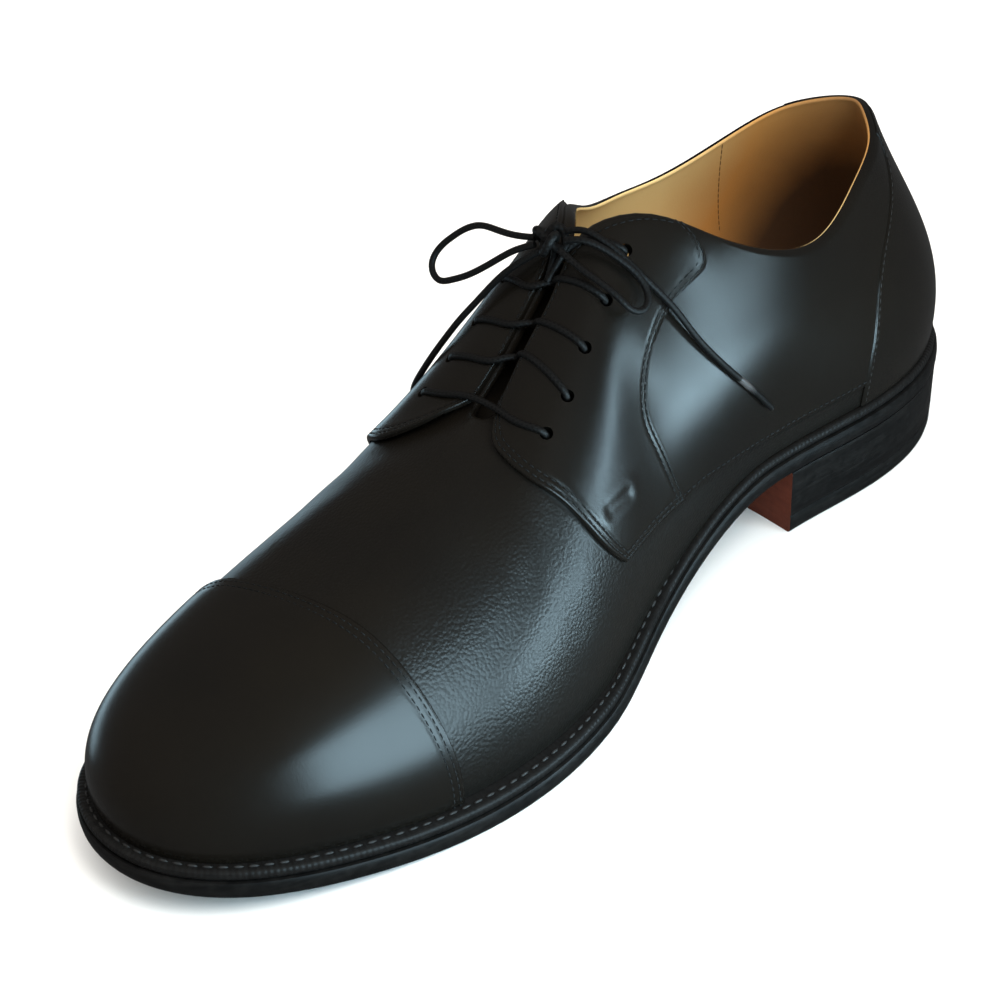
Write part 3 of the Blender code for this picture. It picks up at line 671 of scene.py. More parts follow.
def sole_finish(name, colour, lighter):
    """Inked sole leather, burnished, with fine scratches along the edge."""
    finish = Finish(name)
    flattened = finish.node("ShaderNodeMapping", None,
                            {"Vector": finish.place(), "Scale": (40.0, 40.0, 900.0)})
    layers = finish.noise(scale=1.0, detail=4.0, place=flattened)
    specks = finish.noise(scale=420.0)
    rubbed_and_highlit = finish.range(specks + layers, start=0.8, end=1.5)
    return finish.set(Base_Color=finish.mix(rubbed_and_highlit, colour, lighter),
                      Roughness=0.36 + 0.25 * (specks - 0.4), Specular_IOR_Level=0.14,
                      Normal=finish.bump(layers + 0.4 * specks, strength=0.35, depth=0.12 * MM))


def welt_finish(colours):
    """Welt top with wheel marks across it."""
    wheel_pitch = 1.5 * MM
    finish = Finish("black_welt")
    marks = (finish.split_map().output("X") * (FULL_TURN / wheel_pitch)).sine()
    specks = finish.noise(scale=500.0)
    return finish.set(Base_Color=finish.mix(specks, colours.sole, colours.sole_worn),
                      Roughness=0.42 + 0.2 * (specks - 0.5), Specular_IOR_Level=0.16,
                      Normal=finish.bump(marks + 0.6 * specks, strength=0.3, depth=0.12 * MM))


def lace_finish(colours):
    """Round waxed lace with a fine braid, with painted shade between its strands."""
    strands = 6
    braid_pitch = 1.3 * MM
    finish = Finish("black_lace")
    spot = finish.split_map()
    along = spot.output("X") * (FULL_TURN / braid_pitch)
    across = spot.output("Y") * (FULL_TURN * strands / 2)
    braid = (along + across).sine().largest((along - across).sine())
    fuzz = finish.noise(scale=1500.0, detail=2.0)
    strand_top = finish.range(braid, start=-0.5, end=1.0)
    # Painted shade: the colour darkens between the strands of the braid
    return finish.set(Base_Color=finish.mix(strand_top, colours.lace_shade, colours.lace),
                      Roughness=0.5 + 0.2 * (fuzz - 0.5), Specular_IOR_Level=0.26,
                      Normal=finish.bump(braid + 0.3 * fuzz, strength=0.35, depth=0.08 * MM))


def plain_finish(name, colour, roughness, speckle):
    """Small part with a little tone and bump in it."""
    finish = Finish(name)
    specks = finish.noise(scale=speckle)
    tone = finish.mix(finish.range(specks, start=0.3, end=0.7), colour, [0.75 * c for c in colour])
    return finish.set(Base_Color=tone, Roughness=roughness + 0.15 * (specks - 0.5),
                      Normal=finish.bump(specks, strength=0.15, depth=0.05 * MM))


def grid_faces(columns, rows, ring=False, closed=False):
    """Quads over a grid of points, round its columns and over its rows where stated, with corner places."""
    across = np.arange(columns if ring else columns - 1)
    down = np.arange(rows if closed else rows - 1)
    i, j = np.meshgrid(across, down, indexing="ij")
    corners = np.stack([np.stack([i + a, j + b], -1) for a, b in ((0, 0), (1, 0), (1, 1), (0, 1))], -2)
    corners = corners.reshape(-1, 4, 2)
    return (corners[..., 0] % columns) * rows + corners[..., 1] % rows, corners


def capped_faces(levels, sides):
    """Quads between closed rings of points, with a face over the first and the last, and corner places."""
    faces, corners = grid_faces(levels, sides, closed=True)
    last = (levels - 1) * sides
    return [*faces, range(sides), range(last, last + sides)], corners


def piece(name, points, faces, materials, finishes=None, corner_uv=None):
    """Mesh piece at its place in the shoe, faces outwards."""
    mesh = bpy.data.meshes.new(name)
    places = (np.reshape(points, (-1, 3)) - ORIGIN).tolist()
    mesh.from_pydata(places, [], [tuple(map(int, face)) for face in faces])
    for material in materials:
        mesh.materials.append(material)
    if finishes is not None:
        mesh.polygons.foreach_set("material_index", np.asarray(finishes, np.int32))
    if corner_uv is not None:
        mesh.uv_layers.new(name="UVMap").data.foreach_set("uv", np.asarray(corner_uv, np.float32).ravel())
    work = bmesh.new()
    work.from_mesh(mesh)
    bmesh.ops.recalc_face_normals(work, faces=work.faces)
    work.to_mesh(mesh)
    work.free()
    shade(mesh)
    thing = bpy.data.objects.new(name, mesh)
    bpy.context.scene.collection.objects.link(thing)
    return thing


def shade(mesh):
    """Smooth faces with crisp edges."""
    mesh.shade_smooth()
    mesh.set_sharp_from_angle(angle=np.radians(42))


def set_grain(mesh, values):
    """Share of pebbled grain at each point of a piece."""
    grain = mesh.attributes.new("grain", "FLOAT", "POINT")
    grain.data.foreach_set("value", np.asarray(values, np.float32).ravel())


def settle(thing):
    """Turn a piece and its modifiers into a plain mesh."""
    graph = bpy.context.evaluated_depsgraph_get()
    mesh = bpy.data.meshes.new_from_object(thing.evaluated_get(graph))
    thing.modifiers.clear()
    thing.data = mesh


def fasten(thing, slot, *nodes):
    """Fix a finished piece to the shoe in place of its solids."""
    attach(thing, BODY)
    if nodes:
        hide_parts(*nodes)
    return thing


def punch(thing, cutter):
    """Cut the shape of another piece out of a piece."""
    step = thing.modifiers.new("Holes", "BOOLEAN")
    step.operation = "DIFFERENCE"
    step.solver = "EXACT"
    step.object = cutter
    settle(thing)
    shade(thing.data)


def discard(thing):
    """Remove a helper object."""
    bpy.data.objects.remove(thing, do_unlink=True)


def tube(name, path, radius, finish):
    """Round cord along a path, closed at both ends, with a map along and round it in metres and turns."""
    sides = 14
    askew = np.array([0.31, 0.23, 0.92])
    radii = np.broadcast_to(radius, len(path))
    runs = unit_rows(np.gradient(path, axis=0))
    side = unit_rows(np.cross(runs[0], askew))
    frames = []
    for run in runs:
        side = unit_rows(side - run * side.dot(run))
        frames.append((side, np.cross(run, side)))
    angle = np.linspace(0, FULL_TURN, sides, endpoint=False)[:, None]
    rings = [point + size * (np.cos(angle) * a + np.sin(angle) * b)
             for point, size, (a, b) in zip(path, radii, frames)]
    faces, corners = capped_faces(len(path), sides)
    lengths = run_lengths(path, 0)
    uv = np.stack([lengths[corners[..., 0]], corners[..., 1] / sides], -1).reshape(-1, 2)
    uv = np.concatenate([uv, np.zeros((2 * sides, 2))])
    return piece(name, rings, faces, [finish], corner_uv=uv)


def wall(name, outer, inner, materials):
    """Leather between two matching grids of points, closed along its edges."""
    columns, rows = outer.shape[:2]
    count = columns * rows
    front, _ = grid_faces(columns, rows)
    rim = [i * rows for i in range(columns)] + [(columns - 1) * rows + j for j in range(1, rows)]
    rim += [i * rows + rows - 1 for i in range(columns - 2, -1, -1)] + list(range(rows - 2, 0, -1))
    sides = [(a, b, b + count, a + count) for a, b in zip(rim, rim[1:] + rim[:1])]
    points = np.concatenate([outer.reshape(-1, 3), inner.reshape(-1, 3)])
    return piece(name, points, [*front, *(front[:, ::-1] + count), *sides], materials)


def spaced(middle, start, end):
    """Shares from 0 to 1, close together over a seam's width at either end."""
    crowding = 1.3
    near = np.linspace(0, 1, 12, endpoint=False) ** crowding
    low = near * start if start else np.array([])
    high = 1 - near[::-1] * end if end else np.array([])
    return np.concatenate([low, np.linspace(start, 1 - end, middle), high])


def edge_lift(away, rows=(ROW_NEAR, ROW_FAR)):
    """Height of an overlay by its distance from a sewn edge: rounded there, pulled in at stitch rows."""
    inside = 1 - np.clip(away / EDGE_ROUND, 0, 1)
    lift = (OVER_FACING - OVERLAY_SEAT) * (EDGE_STAND + (1 - EDGE_STAND) * np.sqrt(1 - inside ** 2))
    for row in rows:
        lift = lift - ROW_GROOVE * np.exp(-((away - row) / ROW_WIDTH) ** 2)
    return lift


def overlay(name, turn, rise, lift, finish, spring=0.0):
    """Leather laid on the upper over a grid of turns and rises."""
    outer = surface(turn, rise, OVERLAY_SEAT + lift + spring)
    inner = surface(turn, rise, OVERLAY_SEAT + spring)
    return wall(name, outer, inner, [finish])


def cap_seam(ahead, count):
    """Turns and rises of the line across the vamp, a distance ahead of the cap's edge."""
    reach_turn = 1.9
    reach_rise = 1.6
    bearing = np.linspace(0, np.pi, 721)
    line = CAP_LINE * LENGTH + ahead * np.hypot(1, CAP_SLANT)

    def at(share):
        turn = np.pi - reach_turn * share * np.cos(bearing)
        return turn, np.minimum(reach_rise * share * np.sin(bearing), 1.0)

    def ahead_of_line(share):
        point = upper_point(*at(share))
        return point[:, 0] - CAP_SLANT * point[:, 1] > line

    turn, rise = at(furthest(ahead_of_line, len(bearing)))
    return even_run(upper_point(turn, rise), count, turn, rise)


def make_toe_cap(finish):
    """Cap over the toe: lines from the welt back to the straight seam."""
    seam_turn, seam_rise = cap_seam(0.0, 150)
    foot_turn = np.linspace(seam_turn[0], seam_turn[-1], len(seam_turn))
    back = spaced(44, 0.0, 0.13)
    turn = foot_turn[:, None] + (seam_turn - foot_turn)[:, None] * back
    rise = OVERLAY_FOOT + (seam_rise - OVERLAY_FOOT)[:, None] * back
    base = upper_point(turn, rise)
    plane_away = (base[..., 0] - CAP_SLANT * base[..., 1] - CAP_LINE * LENGTH) / np.hypot(1, CAP_SLANT)
    return overlay("toe_cap_leather", turn, rise, edge_lift(np.maximum(plane_away, 0)), finish)


def counter_reach(rise):
    """Turn of the heel counter's edge."""
    return turn_at(spline(COUNTER_EDGE["rise"], COUNTER_EDGE["along"])(rise))


def make_counter(finish):
    """Heel counter: narrow at the collar and broad at the welt."""
    across = 2 * spaced(60, 0.05, 0.05) - 1
    rise = np.linspace(OVERLAY_FOOT, 1, 60)
    turn = across[:, None] * counter_reach(rise)
    rise = np.broadcast_to(rise, turn.shape)
    base = upper_point(turn, rise)
    away = np.minimum(run_lengths(base, 0), run_lengths(base, 0, True))
    top = run_lengths(base, 1, True)
    lift = COUNTER_SHARE * np.minimum(edge_lift(away, (ROW_NEAR,)), edge_lift(top, ()))
    return overlay("heel_counter_leather", turn, rise, lift, finish)


def flap_place(side, share, down):
    """Turn and rise on a flap: share runs from its back seam to its front edge, down from the throat."""
    edge = {key: spline(FLAP_EDGES["down"], FLAP_EDGES[key])(down) for key in FLAP_EDGES if key != "down"}
    back = turn_at(edge["back_along"])
    front = turn_at(edge["front_" + SIDES[side]])
    turn = -side * (back + (front - back) * share)
    rise = edge["back_rise"] + (edge["front_rise"] - edge["back_rise"]) * share
    on_tab = (1 - down) ** 6 * (1 - ease(0.14, 0.40, share))
    return turn, rise - TAB_DROP * on_tab


def flap_spring(side, share, down):
    """Front corner of a flap, and the back of its top tab, standing off the leather below."""
    on_corner = share ** 5 * (1 - down) ** 2 * (0.3 + 0.7 * ease(0.0, 0.12, down))
    on_tab = (1 - share) ** 12 * (1 - ease(0.1, 0.35, down))
    return FLAP_SPRING[side] * on_corner + TAB_SPRING * on_tab


class FlapGrid:
    """Fine grid over one flap with its distances from the four edges."""

    def __init__(self, side):
        self.side = side
        self.share = spaced(64, 0.10, 0.10)
        self.down = spaced(48, 0.06, 0.07)
        share, down = np.meshgrid(self.share, self.down, indexing="ij")
        self.turn, self.rise = flap_place(side, share, down)
        self.spring = flap_spring(side, share, down)
        base = upper_point(self.turn, self.rise)
        self.away = {"back": run_lengths(base, 0), "front": run_lengths(base, 0, True),
                     "top": run_lengths(base, 1), "foot": run_lengths(base, 1, True)}

    def lift(self):
        """Height of the leather, with a groove under each row of stitches."""
        sewn = np.minimum(np.minimum(self.away["back"], self.away["front"]), self.away["foot"])
        return np.minimum(edge_lift(sewn), edge_lift(self.away["top"], (ROW_NEAR,)))

    def row(self, edge, away, lift):
        """Points of a stitch row at a distance from the back, front, foot or top edge."""
        across = edge in ("back", "front")
        lines = self.away[edge].T if across else self.away[edge]
        places, fixed = (self.share, self.down) if across else (self.down, self.share)
        found = []
        for line in lines:
            order = np.argsort(line)
            found.append(np.interp(away, line[order], places[order]))
        share, down = (np.array(found), fixed) if across else (fixed, np.array(found))
        turn, rise = flap_place(self.side, share, down)
        return surface(turn, rise, lift + flap_spring(self.side, share, down))


def make_flap(side, finish):
    """Eyelet flap of one side."""
    grid = FlapGrid(side)
    return overlay(f"eyelet_flap_{SIDES[side]}", grid.turn, grid.rise, grid.lift(), finish, grid.spring)


def eyelet(pair, side):
    """Turn and rise of one eyelet."""
    return -side * turn_at(EYELETS["along_" + SIDES[side]][pair]), EYELETS["rise_" + SIDES[side]][pair]


def make_eyelet_punch(side):
    """Pins through the holes of one flap."""
    reach = 6 * MM
    sides = 20
    points, faces = [], []
    angle = np.linspace(0, FULL_TURN, sides, endpoint=False)[:, None]
    for pair in range(EYELET_PAIRS):
        centre = upper_point(*eyelet(pair, side))
        normal = upper_normal(*eyelet(pair, side))
        across = unit_rows(np.cross(normal, np.array([1.0, 0.0, 0.0])))
        ring = EYELET_RADIUS * (np.cos(angle) * across + np.sin(angle) * np.cross(normal, across))
        faces += [np.array(face) + 2 * sides * pair for face in capped_faces(2, sides)[0]]
        points += [centre - normal * reach + ring, centre + normal * reach + ring]
    return piece("punch_" + SIDES[side], np.concatenate(points), faces, [])


def quarter_seam(along):
    """Height of the quarters' lower seam at a distance along the shoe."""
    return np.interp(along / MM, QUARTER_SEAM["along"], QUARTER_SEAM["height"]) * MM


def quarter_step(points):
    """Quarters standing proud of the vamp above their lower seam, and the share of vamp grain."""
    half_slope = 0.5 * MM
    along = points[..., 0]
    above = ease(-half_slope, half_slope, points[..., 2] - quarter_seam(along))
    quarter = above * (1 - ease(160 * MM, 170 * MM, along))
    return QUARTER_STEP * quarter, 1 - quarter


def make_upper(black, tan):
    """Vamp and quarters in one wall with a rolled top edge, lined inside."""
    near_edge = 0.94
    turn = np.linspace(0, FULL_TURN, 320, endpoint=False)[:, None]
    rise = np.concatenate([np.linspace(0, near_edge, 62), np.linspace(near_edge, 1, 9)[1:]])[None, :]
    step, grain = quarter_step(upper_point(turn, rise))
    outer = surface(turn, rise, step * (1 - ease(0.985, 1.0, rise)))
    inner_rise = np.concatenate([np.linspace(1, near_edge, 6), np.linspace(near_edge, 0, 30)[1:]])[None, :]
    inner = surface(turn, inner_rise, -WALL)
    inner[:, -1, 2] = outer[:, 0, 2]
    middle = (outer[:, -1] + inner[:, 0]) / 2
    half = (outer[:, -1] - inner[:, 0]) / 2
    up = unit_rows(outer[:, -1] - outer[:, -2]) * (WALL / 2)
    angles = np.linspace(0, np.pi, 9)[1:-1]
    roll = np.stack([middle + np.cos(a) * half + np.sin(a) * up for a in angles], 1)
    points = np.concatenate([outer, roll, inner], 1)
    faces, corners = grid_faces(*points.shape[:2], ring=True, closed=True)
    lining_from = outer.shape[1] + roll.shape[1] // 2
    at_throat = (1 - np.cos(turn[corners[:, 0, 0], 0])) / 2 > COLLAR_END
    faced_from = outer.shape[1] + roll.shape[1] + np.argmax(inner_rise[0] < FACED_TO)
    finishes = (corners[:, 0, 1] >= np.where(at_throat, faced_from, lining_from)).astype(int)
    thing = piece("upper_leather", points, faces, [black, tan], finishes)
    values = np.zeros(points.shape[:2])
    values[:, :outer.shape[1]] = grain
    set_grain(thing.data, values)
    return thing


def make_tongue(black, tan):
    """Tongue under both flaps, from below the vamp to the top of the throat."""
    side_rises = np.linspace(0.66, 0.985, 12)
    middles = np.linspace(-0.85, 0.85, 13)
    under = WALL + TONGUE_CLEAR
    fan = 0.88
    vamp_rise = 0.92
    grain = 0.6
    along = np.linspace(TONGUE_ROWS["along"][0], TONGUE_ROWS["along"][-1], 46)
    sink = np.interp(-along, -TONGUE_ROWS["along"], TONGUE_ROWS["sink"]) * MM
    drop = TONGUE_DROP * ease(0.72, 0.66, along)
    rows = []
    for place, depth in zip(along, under + sink + drop):
        turn = turn_at(place)
        row = [on_upper(turn, rise, -depth) for rise in side_rises]
        row += [over_throat(place, across, -depth) for across in middles]
        row += [on_upper(-turn, rise, -depth) for rise in side_rises[::-1]]
        rows.append(np.array(row))
    tucked = on_upper(np.pi + fan * np.linspace(-1, 1, len(rows[0])), vamp_rise, -under)
    rows = [tucked + (rows[0] - tucked) * share for share in np.linspace(0, 1, 7)[:-1]] + rows
    top = np.stack(rows, 1)
    normal = unit_rows(np.cross(np.gradient(top, axis=0), np.gradient(top, axis=1)))
    normal *= np.sign(normal[..., 2:])
    thing = wall("tongue_leather", top, top - normal * TONGUE_THICK, [black, tan])
    count = (top.shape[0] - 1) * (top.shape[1] - 1)
    finishes = np.zeros(len(thing.data.polygons), np.int32)
    finishes[count:2 * count] = 1
    thing.data.polygons.foreach_set("material_index", finishes)
    set_grain(thing.data, np.full(len(thing.data.vertices), grain))
    return thing


def sole_ring(turn, inset, height):
    """Outline of the sole drawn in by a width, at a height over the tread."""
    edge = sole_inset(turn, inset)
    return with_height(edge, tread_height(edge[:, 0]) + height)


def plate(name, profile, finish):
    """Flat piece with the sole's outline: rings of inset and height, closed below and above."""
    stations = 100
    turn = np.linspace(0, FULL_TURN, 2 * stations, endpoint=False)
    count = len(turn)
    rings = [sole_ring(turn, inset(turn) if callable(inset) else inset, height)
             for inset, height in profile]
    faces = list(grid_faces(len(rings), count, closed=True)[0])
    for level in (0, (len(rings) - 1) * count):
        faces.append((level, level + 1, level + count - 1))
        for i in range(1, stations - 1):
            faces.append((level + i, level + i + 1, level + count - i - 1, level + count - i))
        faces.append((level + stations - 1, level + stations, level + stations + 1))
    return piece(name, np.concatenate(rings), faces, [finish])


def make_outsole(finish):
    """Outsole with rounded edges."""
    top = OUTSOLE_THICK
    profile = ((0.9 * MM, 0.0), (0.45 * MM, 0.15 * MM), (0.15 * MM, 0.6 * MM), (0.0, 2.2 * MM),
               (0.1 * MM, top - 0.9 * MM), (0.5 * MM, top - 0.2 * MM), (1.3 * MM, top))
    return plate("outsole_leather", profile, finish)


def make_insole(finish):
    """Insole with a rounded upper edge, inside the upper."""
    def inside(extra):
        return lambda turn: WELT_OUT(turn) + WALL + INSOLE_CLEAR + extra

    top = FEATHER_RISE + INSOLE_THICK
    profile = ((inside(0.0), FEATHER_RISE), (inside(0.0), top - 0.6 * MM),
               (inside(0.3 * MM), top - 0.1 * MM), (inside(1.2 * MM), top))
    return plate("insole_sock", profile, finish)


def make_welt(finish):
    """Welt ring with a rounded rim, from the sole's edge to under the upper."""
    turn = np.linspace(0, FULL_TURN, 400, endpoint=False)
    low = OUTSOLE_THICK + GAP
    inner = WELT_OUT(turn) + WALL
    profile = ((inner, low), (WELT_STEP + 0.5 * MM, low), (WELT_STEP + 0.1 * MM, low + 0.4 * MM),
               (WELT_STEP, low + 1.2 * MM), (WELT_STEP + 0.15 * MM, WELT_TOP - 0.6 * MM),
               (WELT_STEP + 0.7 * MM, WELT_TOP - 0.1 * MM), (WELT_STEP + 1.4 * MM, WELT_TOP),
               (WELT_STEP + WELT_ROW, WELT_TOP - 0.15 * MM), (WELT_STEP + 3.2 * MM, WELT_TOP),
               (inner, WELT_TOP + GAP))
    points = np.stack([sole_ring(turn, inset, height) for inset, height in profile], 1)
    faces, corners = grid_faces(*points.shape[:2], ring=True, closed=True)
    rim = points[:, 3]
    lengths = run_lengths(np.concatenate([rim, rim[:1]]), 0)
    uv = np.stack([lengths[corners[..., 0]], corners[..., 1] / len(profile)], -1)
    return piece("welt_leather", points, faces, [finish], corner_uv=uv)


def make_heel(black, breast):
    """Heel block with a top lift line and a hollowed breast."""
    breast_hollow = 3 * MM
    breast_points = 11
    turn = np.linspace(-turn_at(HEEL_SHARE), turn_at(HEEL_SHARE), 121)
    across = np.linspace(0, 1, breast_points + 2)[1:-1, None]
    rings = []
    for share, inset in zip(HEEL_LEVELS["share"], HEEL_LEVELS["inset"]):
        edge = sole_inset(turn, inset * MM)
        hollow = edge[-1] + (edge[0] - edge[-1]) * across
        hollow[:, 0] -= breast_hollow * np.sin(np.pi * across[:, 0])
        rings.append(with_height(np.concatenate([edge, hollow]), share * HEEL_TOP))
    faces, corners = capped_faces(len(rings), len(rings[0]))
    on_breast = corners[:, 0, 1] >= len(turn) - 1
    return piece("heel_stack", np.concatenate(rings), faces, [black, breast], [*on_breast, False, False])


def free_lace(name, radius, finish, aglet=None):
    """Loose run of lace from the knot, with an aglet over its last stretch if it has one."""
    path = smooth_path(np.array(FREE_LACE[name]) * MM, 90)
    lengths = run_lengths(path, 0)
    cord = tube(name, path, radius, finish)
    if aglet:
        at = np.linspace(0, 1, 14)
        places = lengths[-1] - AGLET_LENGTH * (1 - at)
        run = np.stack([np.interp(places, lengths, column) for column in path.T], -1)
        run[-1] += unit_rows(run[-1] - run[-2]) * AGLET_PAST
        size = radius * (1.06 - 0.16 * at)
        size[[0, -1]] *= 0.75
        fasten(tube(name + "_aglet", run, size, aglet), "lace")
    fasten(cord, "lace", "lace_" + name)


def make_knot(radius, finish):
    """Bow knot: the lace wound through itself."""
    fullness = 1.25
    t = np.linspace(0, FULL_TURN, 90)
    wind = np.stack([np.sin(t) + 2 * np.sin(2 * t), np.cos(t) - 2 * np.cos(2 * t),
                     -2.6 * np.sin(3 * t)], -1) / 3
    path = (wind * KNOT_HALF + KNOT_CENTRE) * MM
    return tube("lace_knot_wound", path, fullness * radius, finish)


def taut_path(points, count):
    """Path pulled straight between its points, with rounded corners."""
    points = np.asarray(points, float)
    for _ in range(3):
        near = 0.75 * points[:-1] + 0.25 * points[1:]
        far = 0.25 * points[:-1] + 0.75 * points[1:]
        cut = np.stack([near, far], 1).reshape(-1, 3)
        points = np.concatenate([points[:1], cut, points[-1:]])
    return np.stack(even_run(points, count, *points.T), -1)


def lace_from_eyelet(pair, side, radius):
    """Lace coming up through an eyelet and lying straight on the flap to the throat's edge."""
    edge_rise = 0.988
    inside = 2.6 * MM
    turn, rise = eyelet(pair, side)
    edge_along = LACE_EDGES[SIDES[side]][pair]
    edge_turn = -side * turn_at(edge_along)
    back = turn_at(FLAP_EDGES["back_along"][0])
    front = turn_at(FLAP_EDGES["front_" + SIDES[side]][0])
    spring = flap_spring(side, (turn_at(edge_along) - back) / (front - back), 0.0)
    lift = OVER_FACING + radius
    return [on_upper(turn, rise - 0.012, -inside), on_upper(turn, rise + 0.002, lift + 0.2 * spring),
            on_upper((turn + edge_turn) / 2, (rise + edge_rise) / 2, lift + 0.5 * spring),
            on_upper(edge_turn, edge_rise, lift + spring)]


def make_lace_bar(radius, finish):
    """Straight bar of lace over the lowest pair of eyelets."""
    route = lace_from_eyelet(0, -1, radius) + lace_from_eyelet(0, 1, radius)[::-1]
    return tube("lace_bar_run", taut_path(route, 60), radius, finish)


def lace_meets(pair):
    """Place along the throat where the two runs of one pair of eyelets cross."""
    return (LACE_EDGES["lateral"][pair] + LACE_EDGES["medial"][pair]) / 2


def make_lace_crossing(pair, radius, finish):
    """Two runs of lace from one pair of eyelets that cross in the throat and dive under the other flap."""
    middle = lace_meets(pair)
    dive_along = middle - 0.008
    dive_depth = WALL + 1.2 * radius
    runs = []
    for side in (-1, 1):
        over = -1.1 * side * radius
        route = lace_from_eyelet(pair, side, radius)
        route += [over_throat(middle, 0.1 * side, over), over_throat(dive_along, -0.9 * side, -dive_depth)]
        runs.append(tube(f"lace_run_{pair}_{SIDES[side]}", taut_path(route, 50), radius, finish))
    return runs


def make_knot_runs(radius, finish):
    """Runs from the top eyelets that pass under the knot and end on the crossing before it."""
    runs = []
    meet = over_throat(lace_meets(EYELET_PAIRS - 2), 0.0, 0.65 * (OVER_FACING + radius))
    for side in (-1, 1):
        route = lace_from_eyelet(EYELET_PAIRS - 1, side, radius)[:2]
        route += [*(np.array(KNOT_RUNS[side]) * MM), meet]
        runs.append(tube("lace_to_knot_" + SIDES[side], taut_path(route, 40), radius, finish))
    return runs


def join(things, name):
    """Make several plain meshes one piece."""
    work = bmesh.new()
    for thing in things:
        work.from_mesh(thing.data)
    first = things[0]
    work.to_mesh(first.data)
    work.free()
    for thing in things[1:]:
        discard(thing)
    first.name = name
    first.data.name = name
    return first


def stitch_tree(finish):
    """Stitches along every path of a wire mesh."""
    group = bpy.data.node_groups.new("stitches_on_paths", "GeometryNodeTree")
    group.interface.new_socket("Paths", in_out="INPUT", socket_type="NodeSocketGeometry")
    for name in ("Pitch", "Length", "Thickness"):
        group.interface.new_socket(name, in_out="INPUT", socket_type="NodeSocketFloat")
    group.interface.new_socket("Stitches", in_out="OUTPUT", socket_type="NodeSocketGeometry")
    tree = NodeTree(group)
    given = tree.node("NodeGroupInput")
    curve = tree.node("GeometryNodeMeshToCurve", None, {"Mesh": given.output("Paths")})
    places = tree.node("GeometryNodeCurveToPoints", {"mode": "LENGTH"},
                       {"Curve": curve, "Length": given.output("Pitch")})
    bead = tree.node("GeometryNodeMeshUVSphere", None, {"Segments": 6, "Rings": 5, "Radius": 0.5})
    thickness = given.output("Thickness")
    size = tree.node("ShaderNodeCombineXYZ", None,
                     {"X": given.output("Length"), "Y": thickness, "Z": thickness})
    stitch = tree.node("GeometryNodeTransform", None, {"Geometry": bead, "Scale": size})
    along = tree.node("FunctionNodeAlignRotationToVector", {"axis": "X"},
                      {"Vector": places.output("Tangent")})
    sewn = tree.node("GeometryNodeInstanceOnPoints", None,
                     {"Points": places, "Instance": stitch, "Rotation": along})
    real = tree.node("GeometryNodeRealizeInstances", None, {"Geometry": sewn})
    dressed = tree.node("GeometryNodeSetMaterial", None, {"Geometry": real, "Material": finish})
    tree.node("NodeGroupOutput", None, {"Stitches": dressed})
    return group


def sew(name, paths, pitch, length, thickness, finish):
    """Rows of stitches along paths, as one plain mesh."""
    points, edges = [], []
    for path in paths:
        base = sum(len(run) for run in points)
        points.append(path - ORIGIN)
        edges += [(base + i, base + i + 1) for i in range(len(path) - 1)]
    mesh = bpy.data.meshes.new(name)
    mesh.from_pydata(np.concatenate(points).tolist(), edges, [])
    thing = bpy.data.objects.new(name, mesh)
    bpy.context.scene.collection.objects.link(thing)
    tree = stitch_tree(finish)
    step = thing.modifiers.new("Stitches", "NODES")
    step.node_group = tree
    values = {"Pitch": pitch, "Length": length, "Thickness": thickness}
    for item in tree.interface.items_tree:
        if item.name in values:
            step[item.identifier] = values[item.name]
    settle(thing)
    thing.data.shade_smooth()
    return thing


def upper_stitch_paths():
    """Rows of fine stitches on the upper."""
    proud = OVER_FACING - ROW_GROOVE + 0.02 * MM
    paths = [surface(*cap_seam(away, 160), proud) for away in (ROW_NEAR, ROW_FAR)]
    for side in (-1, 1):
        grid = FlapGrid(side)
        for edge, first, last in (("back", 2, -4), ("front", 2, -4), ("foot", 8, -8)):
            paths += [grid.row(edge, away, proud)[first:last] for away in (ROW_NEAR, ROW_FAR)]
        paths.append(grid.row("top", ROW_NEAR, proud)[6:-10])
        paths.append(quarter_row(side))
    return paths


def counter_stitch_paths():
    """Row of stitches along either edge of the heel counter."""
    rise = np.linspace(0.03, 0.985, 60)
    reach = counter_reach(rise)
    share = 0.01
    width = np.linalg.norm(upper_point(reach, rise) - upper_point((1 - share) * reach, rise), axis=1)
    inward = share * ROW_NEAR / width
    lift = COUNTER_SHARE * (OVER_FACING - ROW_GROOVE)
    return [surface(side * reach * (1 - inward), rise, lift) for side in (-1, 1)]


def lining_stitch_paths():
    """Rows of stitches down the joint of the lining on either side of the heel."""
    foot_turn = 0.772
    foot_rise = 0.45
    slope = 0.06
    rise = np.linspace(0.99, foot_rise, 40)
    turn = foot_turn + slope * (rise - foot_rise)
    return [surface(side * turn, rise, -WALL) for side in (-1, 1)]


def quarter_row(side):
    """Row of stitches on a quarter, above its lower seam."""
    along = np.linspace(62 * MM, 160 * MM, 60)
    height = quarter_seam(along) + ROW_NEAR
    turn = -side * turn_at(along / LENGTH)
    rise = furthest(lambda share: upper_point(turn, share)[:, 2] < height, len(turn))
    return surface(turn, rise, QUARTER_STEP)


def welt_stitch_path():
    """Row of stitches round the forepart of the welt."""
    start = turn_at(0.26)
    return sole_ring(np.linspace(start, FULL_TURN - start, 300), WELT_STEP + WELT_ROW, WELT_TOP)


def size_property(name, description, default):
    """Length that a user would change."""
    return FloatProperty(name=name, description=description, default=default, unit="LENGTH", precision=5)


def colour_property(name, description, default):
    """Colour swatch of a finish."""
    return FloatVectorProperty(name=name, description=description, default=default, subtype="COLOR", size=3,
                               min=0.0, max=1.0)


